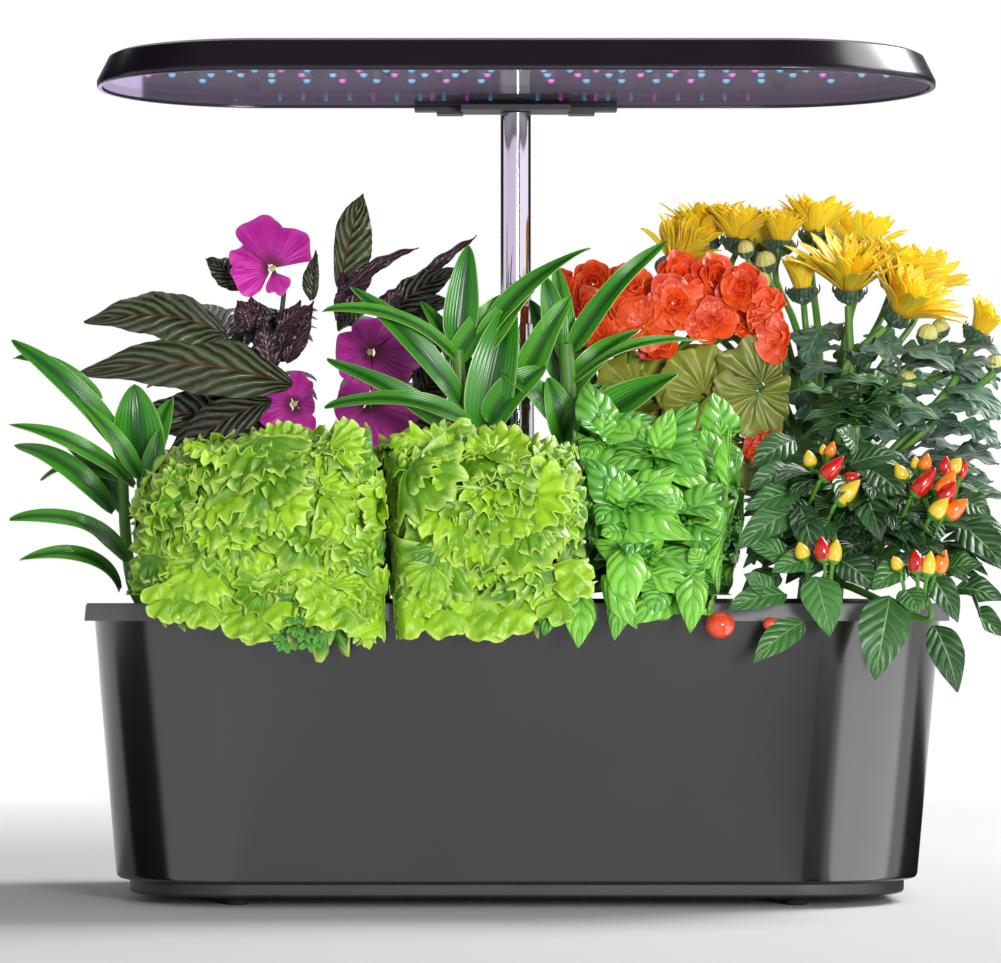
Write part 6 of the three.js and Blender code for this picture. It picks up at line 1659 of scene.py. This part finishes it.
def showCard(name, outline, level, colour, blocks):
    # a card that the glossy skins see, such as a studio's softboxes and flags; a flag also holds light back
    mesh = bpy.data.meshes.new(name)
    mesh.from_pydata(outline, [], [list(range(len(outline)))])
    card = bpy.data.objects.new(name, mesh)
    bpy.context.scene.collection.objects.link(card)
    material, tree = startMaterial(f"{name}Light")
    glow = addNode(tree, "Emission", {"Color": hexColour(colour), "Strength": level})
    addNode(tree, "OutputMaterial", links={"Surface": glow})
    card.data.materials.append(material)
    card.visible_camera = False
    card.visible_diffuse = False
    card.visible_transmission = False
    card.visible_shadow = blocks


def softCard(name, size, place, aim, level, colour, blocks):
    turn = (Vector(aim) - Vector(place)).to_track_quat("Z", "Y").to_matrix().to_4x4()
    stand = Matrix.Translation(place) @ turn @ Matrix.Diagonal((size[0] / 2, size[1] / 2, 1, 1))
    outline = [stand @ Vector((x, y, 0)) for x, y in ((-1, -1), (1, -1), (1, 1), (-1, 1))]
    showCard(name, outline, level, colour, blocks)


cardPlans = [  # name, width and height, place and aim in metres, level, colour, whether it holds light back
    ("highSoftbox", (1.6, 1.0), (1.5, 0.2, 1.45), (0, 0, 0.4), 9.0, "#ffffff", False),
    ("highFlag", (1.8, 1.1), (-1.5, 0.2, 1.4), (0, 0, 0.4), 0.0, "#000000", True),
    ("poleSoftbox", (2.6, 0.6), (1.4, -0.5, 0.62), (0, 0.1, 0.35), 1.45, "#f4f0f6", False),
    ("poleRightFlag", (1.5, 0.7), (1.1, 1.2, 0.75), (0, 0, 0.3), 0.02, "#ffffff", False),
    ("poleLeftFlag", (1.5, 0.7), (-1.2, 1.1, 0.75), (0, 0, 0.3), 0.02, "#ffffff", False),
    ("poleDarkCard", (0.3, 0.7), (0.57, -1.18, 0.62), (0, 0.1, 0.35), 0.0, "#000000", False),
    ("lampEndCard", (0.3, 0.3), (-0.44, 1.45, 0.22), (0, 0, 0.22), 4.0, "#b8a8cc", False),
    ("lampBackCard", (3.2, 0.86), (0, 1.5, 0.56), (0, 0, 0.38), 1.0, "#90829c", False),
    ("ceilingCard", (5.0, 2.2), (0, -1.2, 1.9), (0, -0.3, 0.3), 0.12, "#ffffff", False),
    ("lilacCard", (2.2, 0.7), (-1.0, -1.15, 0.62), (0, 0, 0.35), 1.35, "#d8cfe0", False),
]
# The leaning tank mirrors the floor: cards lie there in wedges, each for one stretch of a round corner
wedgePlan = {"cornerX": 130, "cornerY": -54, "radius": 58, "reach": 900, "level": 0.6, "steps": 7}
wedges = [  # name, side, stretch of the corner in degrees from the front, level, its foot's shift in mm
    ("rightFlag", 1, (2, 11.5), 0.0, -3), ("rightSoftbox", 1, (14.5, 48), 3.7, 0),
    ("rightFade", 1, (48, 57), 1.3, 0), ("rearFlag", 1, (58, 88), 0.0, 0),
    ("leftFlag", -1, (35.5, 57.5), 0.0, 0), ("leftPaper", -1, (0, 34), 1.2, 0),
]


def floorWedge(name, side, stretch, level, shift):
    plan = wedgePlan
    near, far = [], []
    for angle in np.radians(np.linspace(*stretch, plan["steps"])):
        foot = np.array([plan["cornerX"] + shift + plan["radius"] * math.sin(angle),
                         plan["cornerY"] - plan["radius"] * math.cos(angle)])
        near.append(foot)
        far.append(foot + plan["reach"] * np.array([math.sin(2 * angle), -math.cos(2 * angle)]))
    outline = [(side * x * mm, y * mm, plan["level"] * mm) for x, y in near + far[::-1]]
    showCard(name, outline, level, "#ffffff", False)


for card in cardPlans:
    softCard(*card)
for wedge in wedges:
    floorWedge(*wedge)
frontPaperPlan = ((-130, -113), (126, -113), (126, -1000), (-130, -1000))
frontPaper = [(x * mm, y * mm, wedgePlan["level"] * mm) for x, y in frontPaperPlan]
showCard("frontPaper", frontPaper, stagePlan["frontPaper"], "#ffffff", False)

world = bpy.data.worlds.new("studio")
bpy.context.scene.world = world
world.use_nodes = True
tree = world.node_tree
tree.nodes.clear()
rays = addNode(tree, "LightPath")
sharp = addNode(tree, "Math", {"operation": "MAXIMUM"},
                {0: rays.outputs["Is Camera Ray"], 1: rays.outputs["Is Glossy Ray"]})
seen = addNode(tree, "Math", {"operation": "MAXIMUM"}, {0: sharp, 1: rays.outputs["Is Transmission Ray"]})
fill = {"To Min": stagePlan["worldFill"], "To Max": stagePlan["worldSeen"]}
strength = addNode(tree, "MapRange", fill, {"Value": seen})
sky = addNode(tree, "Background", {"Color": (1, 1, 1, 1)}, {"Strength": strength})
addNode(tree, "OutputWorld", links={"Surface": sky})

lightPlans = [  # name, place and aim in metres, size, power in watts
    ("keyLight", (1.2, 0.5, 1.25), (0, 0, 0.1), 0.7, 27),
    ("frontLight", (0.7, -2.2, 0.3), (0, 0, 0.25), 0.5, 38),
]
for name, place, aim, size, power in lightPlans:
    light = bpy.data.lights.new(name, "AREA")
    light.size = size
    light.energy = power
    light.specular_factor = stagePlan["specular"]
    lamp = bpy.data.objects.new(name, light)
    lamp.location = place
    lamp.rotation_euler = (Vector(aim) - Vector(place)).to_track_quat("-Z", "Y").to_euler()
    bpy.context.scene.collection.objects.link(lamp)

lens = bpy.data.cameras.new("studioCamera")
lens.sensor_width = camera["sensorMm"]
lens.lens = camera["sensorMm"] * camera["focalPx"] / camera["widePx"]
eye = bpy.data.objects.new("studioCamera", lens)
eye.location = (camera["x"] * mm, camera["y"] * mm, camera["z"] * mm)
tiltUp = math.atan((camera["horizonPx"] - camera["tallPx"] / 2) / camera["focalPx"])
eye.rotation_euler = (math.pi / 2 + tiltUp, 0, 0)
bpy.context.scene.collection.objects.link(eye)
bpy.context.scene.camera = eye
